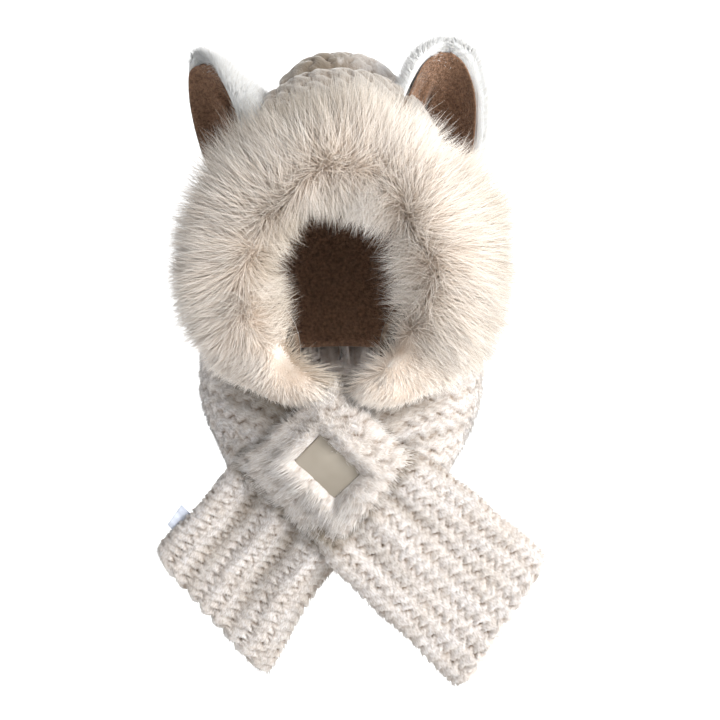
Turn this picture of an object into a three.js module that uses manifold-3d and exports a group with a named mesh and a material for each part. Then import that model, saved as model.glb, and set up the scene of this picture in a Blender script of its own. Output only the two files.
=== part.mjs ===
// A child's plush hood scarf with animal ears.
//
// A deep bonnet of embossed plush with a velvet lining has a long fur trim round
// its face opening and two cupped ears. Its bottom edge is sewn into a scarf of
// two halves that meet in a seam at the nape. Each half comes round one side of
// the neck and crosses the chest: the over half runs through a keeper loop that
// is sewn on the under half. A bare patch lies on the loop, and a small folded
// label is caught in the side seam of one end.
//
// Frame: millimetres, +Z up, the face looks along -Y, +X is the viewer's right.
// The origin is where the top of a head touches the lining.

import * as THREE from 'three';
import { mergeVertices } from 'three/addons/utils/BufferGeometryUtils.js';
import Module from 'manifold-3d';

const wasm = await Module();
wasm.setup();

// Driving dimensions
const GAP = 0.3; // clearance between pieces that touch

const HEAD_HALF_WIDTH = 92; // inside the lining, from the head's axis
const HEAD_FRONT = 108;
const HEAD_BACK = 108;
const HOOD_DROP = 285; // from the seat on the crown down to the hood's bottom edge
const HOOD_WALL = 6; // embossed plush on its backing
const LINING_WALL = 2; // short velvet
const LINING_HEM = 7; // the lining stops this far inside the hood's edges

const FACE_HALF_WIDTH = 76; // the cut edge under the fur
const FACE_TOP = 84; // below the seat
const FACE_HEIGHT = 176; // down to where the two front edges come together
const CHIN_SLOT = 76; // width left between the front corners

const TRIM_CENTRE_DROP = 176; // middle of the fur ring, below the seat
const TRIM_RADIUS = 104; // from that middle to the core of the fur
const TRIM_PILE = 56; // half the thickness of the fur, seen from the front
const TRIM_DEPTH = 44; // half its thickness from front to back
const TRIM_FORWARD = 104; // how far the core lies in front of the head's axis
const LOCK_HALF_WIDTH = 15;
const LOCK_THICK = 7;

const EAR_HEIGHT = 143; // from the buried root to the tip
const EAR_HALF_WIDTH = 41; // of the hollow
const EAR_WRAP = 81; // degrees that each side of an ear wraps round its hollow
const EAR_WALL = 9; // two layers of white plush
const EAR_LINING_WALL = 3;
const EAR_GAP = 0.45; // between the lining and the shell, where both are curved
const EAR_PLEAT = 3; // height of the two folds in the lining
const EAR_ROOT_TUCK = 44; // how far the root bends in to the hood
const EAR_TUCK_SHARE = 0.28; // of the height, over which it bends in
const EAR_ROOT_DROP = 113; // the roots lie this far below the seat

const SCARF_WIDTH = 142;
const SCARF_THICK = 14;
const NECK_HALF_WIDTH = 130; // from the neck's axis to the middle of the scarf
const NECK_BACK = 98;
const COLLAR_DROP = 318; // middle of the scarf at the nape, below the seat
const CROSSING_DROP = 366; // where the two halves cross
const CROSSING_ASIDE = -14; // the crossing lies a little to the viewer's left
const CROSSING_FORWARD = 102; // middle of the under half there
const END_CORNER = 16; // rounding of the corners of the scarf's ends
const PLEAT_DEPTH = 3; // of the folds that run into the crossing

const LOOP_WIDTH = 112;
const LOOP_THICK = 11;
const PATCH_LENGTH = 54;
const PATCH_WIDTH = 33;
const PATCH_THICK = 1.6;
const LABEL_LENGTH = 23;
const LABEL_WIDTH = 11;
const LABEL_THICK = 1.2;

// Tables. Lengths are shares of the sizes named beside them.

// Rings of the hood from the crown down. drop is a share of HOOD_DROP; side,
// front and back are shares of the head's half width, front and back.
const HOOD_RINGS = [
  { at: 0.0, drop: 0.0, side: 0.0, front: 0.0, back: 0.0 },
  { at: 0.1, drop: 0.014, side: 0.31, front: 0.29, back: 0.34 },
  { at: 0.2, drop: 0.058, side: 0.6, front: 0.55, back: 0.63 },
  { at: 0.3, drop: 0.135, side: 0.81, front: 0.76, back: 0.84 },
  { at: 0.4, drop: 0.235, side: 0.94, front: 0.9, back: 0.96 },
  { at: 0.5, drop: 0.35, side: 1.0, front: 0.98, back: 1.0 },
  { at: 0.64, drop: 0.52, side: 1.03, front: 1.0, back: 0.99 },
  { at: 0.78, drop: 0.7, side: 1.1, front: 0.95, back: 0.9 },
  { at: 0.9, drop: 0.87, side: 1.2, front: 0.84, back: 0.8 },
  { at: 1.0, drop: 1.0, side: 1.26, front: 0.74, back: 0.75 },
];

// Folds across the crown. centre and breadth are millimetres behind the seat.
const CROWN_FOLDS = [
  { centre: -42, breadth: 14, rise: 6 },
  { centre: 20, breadth: 24, rise: 17 },
];
const CROWN_FOLD_LENGTH = 62; // half of it, across the crown
const GATHERS = 11; // folds that run up from the neck
const GATHER_DEPTH = 2.6;

// Core of the fur from the top (0) round to the chin (1 is half a turn). reach
// is a share of TRIM_RADIUS, pile of TRIM_PILE, forward of TRIM_FORWARD.
const TRIM_STATIONS = [
  { at: 0.0, reach: 0.97, pile: 1.02, forward: 1.0 },
  { at: 0.25, reach: 1.0, pile: 1.02, forward: 1.0 },
  { at: 0.5, reach: 1.05, pile: 1.0, forward: 0.96 },
  { at: 0.72, reach: 1.12, pile: 0.92, forward: 1.0 },
  { at: 0.86, reach: 1.15, pile: 0.56, forward: 1.12 },
  { at: 0.95, reach: 1.13, pile: 0.3, forward: 1.2 },
];

// Rows of locks round the core. angle is where their roots lie, from the outer
// side (0) over the front (90) to the opening (180), turn how far they sweep back
// toward the outer side, both in degrees, and count their number along the fur.
const TRIM_ROWS = [
  { angle: -8, turn: 36, count: 17 },
  { angle: 25, turn: 40, count: 17 },
  { angle: 58, turn: 42, count: 16 },
  { angle: 92, turn: 42, count: 15 },
  { angle: 128, turn: 42, count: 14 },
  { angle: 152, turn: -38, count: 15 },
];
const TRIM_CORE = 0.84; // the core's share of the fur's thickness

// Half width of an ear from its root (0) to its tip (1), a share of
// EAR_HALF_WIDTH, and how deeply it is cupped there, a share of that half width.
const EAR_OUTLINE = [
  { at: 0.0, half: 0.86, cup: 1.6 },
  { at: 0.17, half: 1.0, cup: 1.8 },
  { at: 0.38, half: 1.02, cup: 1.75 },
  { at: 0.54, half: 0.98, cup: 1.65 },
  { at: 0.67, half: 0.89, cup: 1.42 },
  { at: 0.8, half: 0.73, cup: 1.1 },
  { at: 0.9, half: 0.53, cup: 0.85 },
  { at: 0.97, half: 0.25, cup: 0.7 },
  { at: 1.0, half: 0.06, cup: 0.6 },
];

// Path of one half of the scarf, for the half that leaves the nape to -X. side
// is a share of NECK_HALF_WIDTH, depth of NECK_BACK behind the neck and of
// CROSSING_FORWARD in front of it. low is below the collar, a share of the drop
// from collar to crossing. edge_x, edge_y and edge_z point to the upper edge, and
// curl is how far both edges turn in toward the neck, a share of SCARF_WIDTH.
const NECK_PATH = [
  { at: 0.0, side: 0.0, depth: 1.0, low: 0.0, edge_x: 0.0, edge_y: 0.1, edge_z: 1, curl: 0.06 },
  { at: 0.11, side: -0.62, depth: 0.78, low: 0.0, edge_x: -0.12, edge_y: 0.08, edge_z: 1, curl: 0.1 },
  { at: 0.21, side: -0.98, depth: 0.12, low: 0.03, edge_x: -0.2, edge_y: 0, edge_z: 1, curl: 0.14 },
  { at: 0.3, side: -0.93, depth: -0.48, low: 0.1, edge_x: -0.1, edge_y: -0.04, edge_z: 1, curl: 0.12 },
  { at: 0.39, side: -0.52, depth: -0.87, low: 0.34, edge_x: 0.4, edge_y: 0, edge_z: 0.9, curl: 0.05 },
  { at: 0.5, side: 0.0, depth: -1.0, low: 1.0, edge_x: 0.7, edge_y: 0.06, edge_z: 0.7, curl: 0.0 },
];

// The two ends, from the crossing on. across and drop place the middle of the
// end; edge_turn is the angle of its edge above the horizontal, in degrees;
// waist is the width in the crossing and flare that of the end, both shares of
// SCARF_WIDTH; lift is how far in front of the under half it lies.
const OVER_END = {
  toward: 1, across: 162, drop: 531, edge_turn: 58, waist: 0.7, flare: 1.11, lift: SCARF_THICK - 0.6,
};
const UNDER_END = {
  toward: -1, across: 129, drop: 523, edge_turn: 50, waist: 0.82, flare: 1.14, lift: 0,
};

// Keeper loop from its upper seam to its lower seam, in its own plane: along is
// the distance from the crossing toward the under end, rise the height over the
// under half, a share of the scarf's thickness, and wide a share of LOOP_WIDTH.
const LOOP_PATH = [
  { at: 0.0, along: -58, rise: 0.5, wide: 0.93 },
  { at: 0.16, along: -48, rise: 1.35, wide: 0.95 },
  { at: 0.45, along: -6, rise: 1.92, wide: 1.0 },
  { at: 0.8, along: 41, rise: 1.5, wide: 1.04 },
  { at: 1.0, along: 56, rise: 0.5, wide: 1.08 },
];

// Ears: across and forward place the root on the hood, and splay is how much
// further out the tip lies; yaw turns the hollow outward and back tips the ear
// away from the face, both in degrees; tall and wide are shares of its size.
const EARS = [
  {
    name: 'left', toward: -1, across: 110, forward: 30, splay: 30, yaw: 59, back: 3, tall: 0.94, wide: 1.14,
  },
  {
    name: 'right', toward: 1, across: 91, forward: 42, splay: 14, yaw: 16, back: 3, tall: 1.02, wide: 1,
  },
];

// Numbers of facets
const HOOD_SIDES = 24;
const HOOD_STEPS = 12;
const TRIM_SIDES = 10;
const TRIM_STEPS = 26;
const SCARF_SIDES = 14;
const SCARF_STEPS = 26;
const EAR_STEPS = 9;
const EAR_SIDES = 12;
const LOOP_STEPS = 8;
const LOOP_SIDES = 12;

// Colours
const PLUSH = new THREE.MeshStandardMaterial({ color: 0xe6dfd3, roughness: 0.95, metalness: 0 });
const FUR = new THREE.MeshStandardMaterial({ color: 0xdccdbd, roughness: 0.9, metalness: 0 });
const WHITE_PLUSH = new THREE.MeshStandardMaterial({ color: 0xf2f1ed, roughness: 0.95, metalness: 0 });
const BROWN_VELVET = new THREE.MeshStandardMaterial({ color: 0x7b5a42, roughness: 0.9, metalness: 0 });
const PATCH_LEATHER = new THREE.MeshStandardMaterial({ color: 0xb4aa9f, roughness: 0.8, metalness: 0 });
const LABEL_SATIN = new THREE.MeshStandardMaterial({ color: 0xe9ebf5, roughness: 0.5, metalness: 0 });

const vec = (x, y, z) => new THREE.Vector3(x, y, z);
const radians = THREE.MathUtils.degToRad;

// A smooth curve through one column of a table, read at a share along it.
function read(table, column, at) {
  const last = table.length - 1;
  const share = THREE.MathUtils.clamp(at, table[0].at, table[last].at);
  let i = 0;
  while (i < last - 1 && share > table[i + 1].at) i += 1;
  const slope = (k) => {
    const a = table[Math.max(k - 1, 0)];
    const b = table[Math.min(k + 1, last)];
    return (b[column] - a[column]) / (b.at - a.at);
  };
  const span = table[i + 1].at - table[i].at;
  const t = (share - table[i].at) / span;
  const t2 = t * t;
  const t3 = t2 * t;
  return (
    (2 * t3 - 3 * t2 + 1) * table[i][column] +
    (t3 - 2 * t2 + t) * span * slope(i) +
    (3 * t2 - 2 * t3) * table[i + 1][column] +
    (t3 - t2) * span * slope(i + 1)
  );
}

const signedPower = (value, power) => Math.sign(value) * Math.abs(value) ** power;

// A number from 0 to 1 that looks random and is always the same.
const scatter = (n) => {
  const wave = Math.sin(n * 127.1 + 311.7) * 43758.5453;
  return wave - Math.floor(wave);
};

// A closed solid through closed rings of points. It ends in the points given, or
// else in flat strips from one half of the end ring to the other.
function loft(rings, start, end) {
  const sides = rings[0].length;
  const points = rings.flat();
  const faces = [];
  for (let r = 0; r + 1 < rings.length; r += 1) {
    for (let s = 0; s < sides; s += 1) {
      const a = r * sides + s;
      const b = r * sides + ((s + 1) % sides);
      faces.push([a, b, b + sides], [a, b + sides, a + sides]);
    }
  }
  const top = (rings.length - 1) * sides;
  faces.push(...cap(0, sides, start, points).map(([a, b, c]) => [a, c, b]));
  faces.push(...cap(top, sides, end, points));
  const cross = new THREE.Vector3();
  let volume = 0;
  for (const [a, b, c] of faces) volume += points[a].dot(cross.crossVectors(points[b], points[c]));
  const turned = volume < 0 ? faces.map(([a, b, c]) => [a, c, b]) : faces;
  const geometry = new THREE.BufferGeometry().setFromPoints(points);
  geometry.setIndex(turned.flat());
  return geometry;
}

function cap(base, sides, apex, points) {
  const faces = [];
  if (apex) {
    const tip = points.push(apex) - 1;
    for (let s = 0; s < sides; s += 1) faces.push([tip, base + s, base + ((s + 1) % sides)]);
    return faces;
  }
  for (let s = 0; s + 1 < sides / 2; s += 1) {
    const across = base + sides - 1 - s;
    faces.push([base + s, base + s + 1, across - 1], [base + s, across - 1, across]);
  }
  return faces;
}

const middle = (ring) =>
  ring.reduce((sum, p) => sum.add(p), new THREE.Vector3()).divideScalar(ring.length);

function solid(geometry) {
  const bare = geometry.clone();
  bare.deleteAttribute('normal');
  bare.deleteAttribute('uv');
  const merged = mergeVertices(bare, 1e-3);
  return new wasm.Manifold(
    new wasm.Mesh({
      numProp: 3,
      vertProperties: new Float32Array(merged.attributes.position.array),
      triVerts: new Uint32Array(merged.index.array),
    }),
  );
}

// The named mesh of a solid. Small offcuts that a cut has freed fall away.
function piece(name, shape, material) {
  const bodies = shape.decompose();
  const body = bodies.reduce((a, b) => (b.volume() > a.volume() ? b : a));
  const made = body.getMesh();
  const geometry = new THREE.BufferGeometry();
  geometry.setAttribute('position', new THREE.BufferAttribute(made.vertProperties, made.numProp));
  geometry.setIndex(new THREE.BufferAttribute(made.triVerts, 1));
  geometry.computeVertexNormals();
  const mesh = new THREE.Mesh(geometry, material);
  mesh.name = name;
  return mesh;
}

// Hood

// A point on the hood, grown outward from the inside of the lining. at runs from
// the crown (0) to the bottom edge (1) and turn once round from the back.
function hoodPoint(at, turn, grow) {
  const angle = turn * 2 * Math.PI;
  const back = Math.cos(angle);
  const side = Math.sin(angle);
  const forward = back < 0;
  const squareness = forward ? 0.78 : 0.92;
  const depth = forward
    ? read(HOOD_RINGS, 'front', at) * HEAD_FRONT
    : read(HOOD_RINGS, 'back', at) * HEAD_BACK;
  const half = read(HOOD_RINGS, 'side', at) * HEAD_HALF_WIDTH;
  const drop = read(HOOD_RINGS, 'drop', at) * HOOD_DROP;
  const gather = GATHER_DEPTH * at ** 4 * Math.cos(GATHERS * angle);
  const dome = Math.min(1, at / 0.5);
  const out = grow * Math.sin((dome * Math.PI) / 2) + gather;
  const up = grow * Math.cos((dome * Math.PI) / 2);
  const point = vec(
    (half + out) * signedPower(side, squareness),
    (depth + out) * signedPower(back, squareness),
    up - drop,
  );
  if (grow > LINING_WALL + GAP) point.z += crownFold(point);
  return point;
}

// The plush is folded on the crown; the lining under it stays smooth.
function crownFold({ x, y, z }) {
  const side = Math.exp(-((x / CROWN_FOLD_LENGTH) ** 4));
  const top = THREE.MathUtils.smoothstep(z, -60, -10);
  const bump = ({ centre, breadth, rise }) => rise * Math.exp(-(((y - centre) / breadth) ** 2));
  return side * top * CROWN_FOLDS.reduce((sum, fold) => sum + bump(fold), 0);
}

// Rings lie closer together on the crown than at the neck.
function hoodRings(grow) {
  return Array.from({ length: HOOD_STEPS }, (_, k) => {
    const at = ((k + 1) / HOOD_STEPS) ** 1.25;
    return Array.from({ length: HOOD_SIDES }, (_, s) => hoodPoint(at, s / HOOD_SIDES, grow));
  });
}

// Everything inside one face of the hood, which reaches past its bottom edge.
function filledHood(grow, past) {
  const rings = hoodRings(grow);
  if (past > 0) rings.push(rings.at(-1).map((p) => vec(p.x, p.y, p.z - past)));
  return solid(loft(rings, hoodPoint(0, 0, grow), middle(rings.at(-1))));
}

// The face opening, cut along Y: an arch above and sides that close to the slot
// under the chin.
function faceCut(hem) {
  const half = FACE_HALF_WIDTH + hem;
  const slot = CHIN_SLOT / 2 + hem;
  const springing = -(FACE_TOP + FACE_HALF_WIDTH);
  const chin = -(FACE_TOP + FACE_HEIGHT);
  const below = -HOOD_DROP - SCARF_WIDTH;
  const cheek = (springing + chin) / 2;
  const outline = new THREE.Shape();
  outline.moveTo(half, springing);
  outline.absarc(0, springing, half, 0, Math.PI, false);
  outline.bezierCurveTo(-half, cheek, -slot, cheek, -slot, chin);
  outline.lineTo(-slot, below);
  outline.lineTo(slot, below);
  outline.lineTo(slot, chin);
  outline.bezierCurveTo(slot, cheek, half, cheek, half, springing);
  const depth = HEAD_FRONT * 2;
  const cut = new THREE.ExtrudeGeometry(outline, { depth, bevelEnabled: false, curveSegments: 10 });
  cut.rotateX(Math.PI / 2); // the drawing's y becomes +Z and the cut runs toward -Y
  return solid(cut);
}

const shellInside = LINING_WALL + GAP;
const shellOutside = shellInside + HOOD_WALL;

function hoodShell() {
  const bag = filledHood(shellOutside, 0).subtract(filledHood(shellInside, LINING_HEM));
  return bag.subtract(faceCut(0));
}

function hoodLining() {
  const bag = filledHood(LINING_WALL, LINING_HEM).subtract(filledHood(0, LINING_HEM * 2));
  const below = new THREE.BoxGeometry(HEAD_BACK * 4, HEAD_BACK * 4, HOOD_DROP);
  below.translate(0, 0, LINING_HEM - HOOD_DROP * 1.5);
  return bag.subtract(faceCut(LINING_HEM)).subtract(solid(below));
}

// Scarf

const mirror = (toward) => (toward > 0 ? 1 : -1);

// Frame of the scarf half at a share along it: its middle, the directions along
// it, to its upper edge and out of its face, and its width there.
function scarfMiddle(end, at) {
  const crossing = NECK_PATH.at(-1).at;
  const neck = Math.min(at, crossing);
  const depth = read(NECK_PATH, 'depth', neck);
  const span = depth > 0 ? NECK_BACK : CROSSING_FORWARD;
  const low = read(NECK_PATH, 'low', neck) * (CROSSING_DROP - COLLAR_DROP);
  const toFront = THREE.MathUtils.smoothstep(at, 0.22, 0.44);
  const point = vec(
    read(NECK_PATH, 'side', neck) * NECK_HALF_WIDTH,
    depth * span - end.lift * toFront,
    -COLLAR_DROP - low,
  );
  if (at > crossing) {
    const t = (at - crossing) / (1 - crossing);
    const aside = CROSSING_ASIDE * mirror(end.toward);
    point.x += (end.across - aside - point.x) * t;
    point.z += (-end.drop - point.z) * (0.94 * t + 0.06 * t * t);
    point.y += end.lift * THREE.MathUtils.smoothstep(t, 0.45, 1) * 0.8;
  }
  point.x *= mirror(end.toward);
  point.x += CROSSING_ASIDE * THREE.MathUtils.smoothstep(at, 0.28, crossing);
  return point;
}

function scarfEdge(end, at) {
  const crossing = NECK_PATH.at(-1).at;
  const neck = Math.min(at, crossing);
  const edge = vec(
    read(NECK_PATH, 'edge_x', neck),
    read(NECK_PATH, 'edge_y', neck),
    read(NECK_PATH, 'edge_z', neck),
  );
  if (at > crossing) {
    const t = THREE.MathUtils.smoothstep(at, crossing, 1);
    const turn = radians(end.edge_turn);
    edge.lerp(vec(Math.cos(turn), 0, Math.sin(turn)), t);
  }
  edge.x *= mirror(end.toward);
  return edge.normalize();
}

function scarfFrame(end, at) {
  const step = 0.004;
  const along = scarfMiddle(end, Math.min(at + step, 1)).sub(scarfMiddle(end, Math.max(at - step, 0)));
  along.normalize();
  const edge = scarfEdge(end, at);
  const out = new THREE.Vector3().crossVectors(along, edge).normalize();
  return { point: scarfMiddle(end, at), along, edge, out: out.multiplyScalar(mirror(end.toward)) };
}

function scarfWidth(end, at, length) {
  const waist = 1 + (end.waist - 1) * Math.exp(-(((at - 0.5) / 0.1) ** 2));
  const flare = 1 + (end.flare - 1) * THREE.MathUtils.smoothstep(at, 0.7, 1);
  const left = Math.min((1 - at) * length, END_CORNER);
  const corner = END_CORNER - Math.sqrt(END_CORNER ** 2 - (END_CORNER - left) ** 2);
  return SCARF_WIDTH * waist * flare - 2 * corner;
}

// How far a point across the scarf lies out of its plane: pleats where it is
// gathered to cross, and edges that curl in toward the neck.
function bend(end, at, across) {
  const gather = PLEAT_DEPTH * Math.exp(-(((at - 0.5) / 0.14) ** 2)) * Math.cos(across * 8.5);
  const curl = at < 0.5 ? read(NECK_PATH, 'curl', at) * SCARF_WIDTH : 0;
  return gather * (end.lift > 0 ? 1 : 0.5) - curl * across * across;
}

function scarfLength(end) {
  const stops = Array.from({ length: 41 }, (_, k) => scarfMiddle(end, k / 40));
  return stops.slice(1).reduce((sum, p, k) => sum + p.distanceTo(stops[k]), 0);
}

function scarfHalf(end, grow) {
  const length = scarfLength(end);
  const seam = (GAP / 2 - grow) / length;
  const tip = 1 + grow / length;
  const rings = Array.from({ length: SCARF_STEPS + 1 }, (_, k) => {
    const even = k / SCARF_STEPS;
    const at = even < 0.9 ? even : 1 - (1 - even) ** 1.5 / 0.1 ** 0.5;
    const frame = scarfFrame(end, at);
    const half = scarfWidth(end, Math.min(at, 1), length) / 2 + grow;
    const rest = Math.min((1 - at) * length, SCARF_THICK);
    const round = Math.sqrt(1 - (1 - rest / SCARF_THICK) ** 2 * 0.7);
    const thick = (SCARF_THICK / 2) * round + grow;
    return Array.from({ length: SCARF_SIDES }, (_, s) => {
      const angle = (s / SCARF_SIDES) * 2 * Math.PI;
      const across = signedPower(Math.cos(angle), 0.55);
      const deep = signedPower(Math.sin(angle), 0.75) * thick + bend(end, at, across);
      return frame.point
        .clone()
        .addScaledVector(frame.edge, across * half)
        .addScaledVector(frame.out, deep)
        .addScaledVector(frame.along, k === 0 ? seam * length : k === SCARF_STEPS ? (tip - 1) * length : 0);
    });
  });
  return solid(loft(rings));
}

// Keeper loop, patch and label

function loopFrame(at) {
  const place = (share) => {
    const along = read(LOOP_PATH, 'along', share);
    const base = scarfMiddle(UNDER_END, 0.5);
    const slant = radians(45);
    return vec(
      base.x - along * Math.sin(slant),
      -CROSSING_FORWARD - read(LOOP_PATH, 'rise', share) * SCARF_THICK,
      base.z - along * Math.cos(slant),
    );
  };
  const step = 0.01;
  const along = place(Math.min(at + step, 1)).sub(place(Math.max(at - step, 0))).normalize();
  const edge = vec(-Math.SQRT1_2, 0, Math.SQRT1_2);
  edge.addScaledVector(along, -edge.dot(along)).normalize();
  const out = new THREE.Vector3().crossVectors(along, edge).normalize();
  if (out.y > 0) out.negate();
  return { point: place(at), along, edge, out };
}

function keeperLoop(grow) {
  const rings = Array.from({ length: LOOP_STEPS + 1 }, (_, k) => {
    const { point, edge, out } = loopFrame(k / LOOP_STEPS);
    const half = (LOOP_WIDTH / 2) * read(LOOP_PATH, 'wide', k / LOOP_STEPS) + grow;
    return Array.from({ length: LOOP_SIDES }, (_, s) => {
      const angle = (s / LOOP_SIDES) * 2 * Math.PI;
      const across = signedPower(Math.cos(angle), 0.6) * half;
      const deep = signedPower(Math.sin(angle), 0.75) * (LOOP_THICK / 2 + grow);
      return point.clone().addScaledVector(edge, across).addScaledVector(out, deep);
    });
  });
  return solid(loft(rings));
}

// The patch follows the loop's face. Its long side lies across the loop.
function patch() {
  const columns = 6;
  const centre = 0.47;
  const reach = PATCH_WIDTH / 2 / (read(LOOP_PATH, 'along', 0.7) - read(LOOP_PATH, 'along', 0.3));
  const rings = Array.from({ length: columns + 1 }, (_, k) => {
    const at = centre + (k / columns - 0.5) * 2 * reach * 0.4;
    const { point, edge, out } = loopFrame(at);
    const low = LOOP_THICK / 2 + GAP;
    const corner = (across, height) =>
      point.clone().addScaledVector(edge, across).addScaledVector(out, height);
    const half = PATCH_LENGTH / 2;
    return [
      corner(-half, low),
      corner(half, low),
      corner(half, low + PATCH_THICK),
      corner(-half, low + PATCH_THICK),
    ];
  });
  return solid(loft(rings));
}

// A folded label that stands out of the under half's upper side seam.
function sideLabel() {
  const at = 0.89;
  const { point, along, edge, out } = scarfFrame(UNDER_END, at);
  const half = scarfWidth(UNDER_END, at, scarfLength(UNDER_END)) / 2;
  const rings = [-LABEL_LENGTH / 2, LABEL_LENGTH / 2].map((shift) => {
    const corner = (across, height) =>
      point
        .clone()
        .addScaledVector(along, shift)
        .addScaledVector(edge, half + across)
        .addScaledVector(out, height);
    return [
      corner(-4, -LABEL_THICK / 2),
      corner(LABEL_WIDTH - 4, -LABEL_THICK / 2),
      corner(LABEL_WIDTH - 4, LABEL_THICK / 2),
      corner(-4, LABEL_THICK / 2),
    ];
  });
  return solid(loft(rings));
}

// Ears

// A point of an ear before it is placed: across from -1 to 1, up from 0 at the
// root to 1 at the tip, layer outward from the hollow face.
function earPoint(ear, across, up, layer) {
  const half = read(EAR_OUTLINE, 'half', up) * EAR_HALF_WIDTH * ear.wide;
  const deep = half * read(EAR_OUTLINE, 'cup', up);
  const angle = across * radians(EAR_WRAP);
  const rise = up * (EAR_HEIGHT * ear.tall + layer * 0.6);
  return vec(Math.sin(angle) * (half + layer), Math.cos(angle) * (deep + layer), rise);
}

// A layer of an ear between two depths. inset is how many of the ear's facets it
// stops short of its edges, and pleat the height of the folds on its inner face.
function earLayer(ear, inner, outer, inset, pleat = 0) {
  const rings = [];
  for (let k = inset; k <= EAR_STEPS - inset; k += 1) {
    const up = (k / EAR_STEPS) ** 0.9;
    const hollow = [];
    const back = [];
    for (let s = inset; s <= EAR_SIDES - inset; s += 1) {
      const across = signedPower((2 * s) / EAR_SIDES - 1, 0.6);
      const fold = Math.abs(s - EAR_SIDES / 2) === 2 ? pleat * (1 - up) : 0;
      hollow.push(earPoint(ear, across, up, inner - fold));
      back.unshift(earPoint(ear, across, up, outer));
    }
    rings.push([...hollow, ...back]);
  }
  return placeEar(ear, rings);
}

function placeEar(ear, rings) {
  const turn = new THREE.Matrix4()
    .makeTranslation(ear.toward * ear.across, -ear.forward, -EAR_ROOT_DROP)
    .multiply(new THREE.Matrix4().makeRotationX(radians(-ear.back)))
    .multiply(new THREE.Matrix4().makeRotationZ(radians(ear.toward * ear.yaw)));
  for (const point of rings.flat()) {
    const up = point.z / (EAR_HEIGHT * ear.tall);
    point.applyMatrix4(turn);
    const tuck = EAR_ROOT_TUCK * Math.max(1 - up / EAR_TUCK_SHARE, 0) ** 2;
    point.x += ear.toward * (ear.splay * up * (2 - up) - tuck);
  }
  return solid(loft(rings));
}

const earShell = (ear, grow) => earLayer(ear, -grow, EAR_WALL + grow, 0);
const earLining = (ear, grow) =>
  earLayer(ear, -EAR_GAP - EAR_LINING_WALL - grow, grow - EAR_GAP, 1, EAR_PLEAT);

// Fur

// The core of the fur at a signed share of half a turn, right is positive.
function trimStation(share) {
  const at = Math.abs(share);
  const angle = share * Math.PI;
  const outward = vec(Math.sin(angle), 0, Math.cos(angle));
  const centre = vec(0, -read(TRIM_STATIONS, 'forward', at) * TRIM_FORWARD, -TRIM_CENTRE_DROP);
  centre.addScaledVector(outward, read(TRIM_STATIONS, 'reach', at) * TRIM_RADIUS);
  return { centre, outward, pile: read(TRIM_STATIONS, 'pile', at) };
}

function trimPoint(share, angle, scale) {
  const { centre, outward, pile } = trimStation(share);
  return centre
    .clone()
    .addScaledVector(outward, Math.cos(angle) * TRIM_PILE * pile * scale)
    .add(vec(0, -Math.sin(angle) * TRIM_DEPTH * Math.min(1, pile * 1.15) * scale, 0));
}

function trimCore(scale) {
  const last = TRIM_STATIONS.at(-1).at;
  const rings = Array.from({ length: TRIM_STEPS + 1 }, (_, k) => {
    const share = -last + (2 * last * k) / TRIM_STEPS;
    return Array.from({ length: TRIM_SIDES }, (_, s) => {
      const angle = (s / TRIM_SIDES) * 2 * Math.PI;
      return trimPoint(share, angle, scale);
    });
  });
  return solid(loft(rings));
}

// One lock: a flat, pointed tuft rooted in the core. From its root at share and
// angle it lies along the fur toward the outer side, or over the opening when
// turn is negative, and its tip stands clear.
function lock(share, angle, turn, size) {
  const spine = (t) => trimPoint(share + 0.012 * t, angle - turn * t, 0.74 + 0.3 * t * t);
  const rings = [0, 0.6].map((t) => {
    const centre = spine(t);
    const along = spine(t + 0.1).sub(centre).normalize();
    const core = trimStation(share).centre;
    const lift = centre.clone().sub(core);
    lift.addScaledVector(along, -lift.dot(along)).normalize();
    const side = new THREE.Vector3().crossVectors(along, lift);
    const taper = size * (1 - 0.75 * t * t);
    const half = LOCK_HALF_WIDTH * taper;
    const thick = LOCK_THICK * taper;
    return [
      centre.clone().addScaledVector(side, half),
      centre.clone().addScaledVector(lift, thick),
      centre.clone().addScaledVector(side, -half),
      centre.clone().addScaledVector(lift, -thick),
    ];
  });
  return solid(loft(rings, undefined, spine(1.15)));
}

function furTrim() {
  const locks = [];
  const last = TRIM_STATIONS.at(-1).at;
  TRIM_ROWS.forEach(({ angle, turn, count }, r) => {
    for (let k = 0; k < count; k += 1) {
      const n = r * 40 + k;
      const share = ((k + 0.25 + 0.5 * (r % 2) + 0.3 * scatter(n)) / count) * 2 * last - last;
      const size = (0.85 + 0.3 * scatter(n + 900)) * Math.min(1, trimStation(share).pile * 1.05);
      const root = radians(angle + 12 * (scatter(n + 500) - 0.5));
      if (Math.abs(share) < last * 0.96) locks.push(lock(share, root, radians(turn), size));
    }
  });
  return wasm.Manifold.union([trimCore(TRIM_CORE), ...locks]);
}

// Assembly

const hood = filledHood(shellOutside + GAP, LINING_HEM);
const under = scarfHalf(UNDER_END, 0).subtract(hood);
const underRoom = scarfHalf(UNDER_END, GAP);
const over = scarfHalf(OVER_END, 0).subtract(hood).subtract(underRoom);
const overRoom = scarfHalf(OVER_END, GAP);
const scarfRoom = wasm.Manifold.union([underRoom, overRoom]);
const loopRoom = keeperLoop(GAP);
const earRoom = wasm.Manifold.union(
  EARS.flatMap((ear) => [earShell(ear, GAP), earLining(ear, GAP)]),
);

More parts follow.
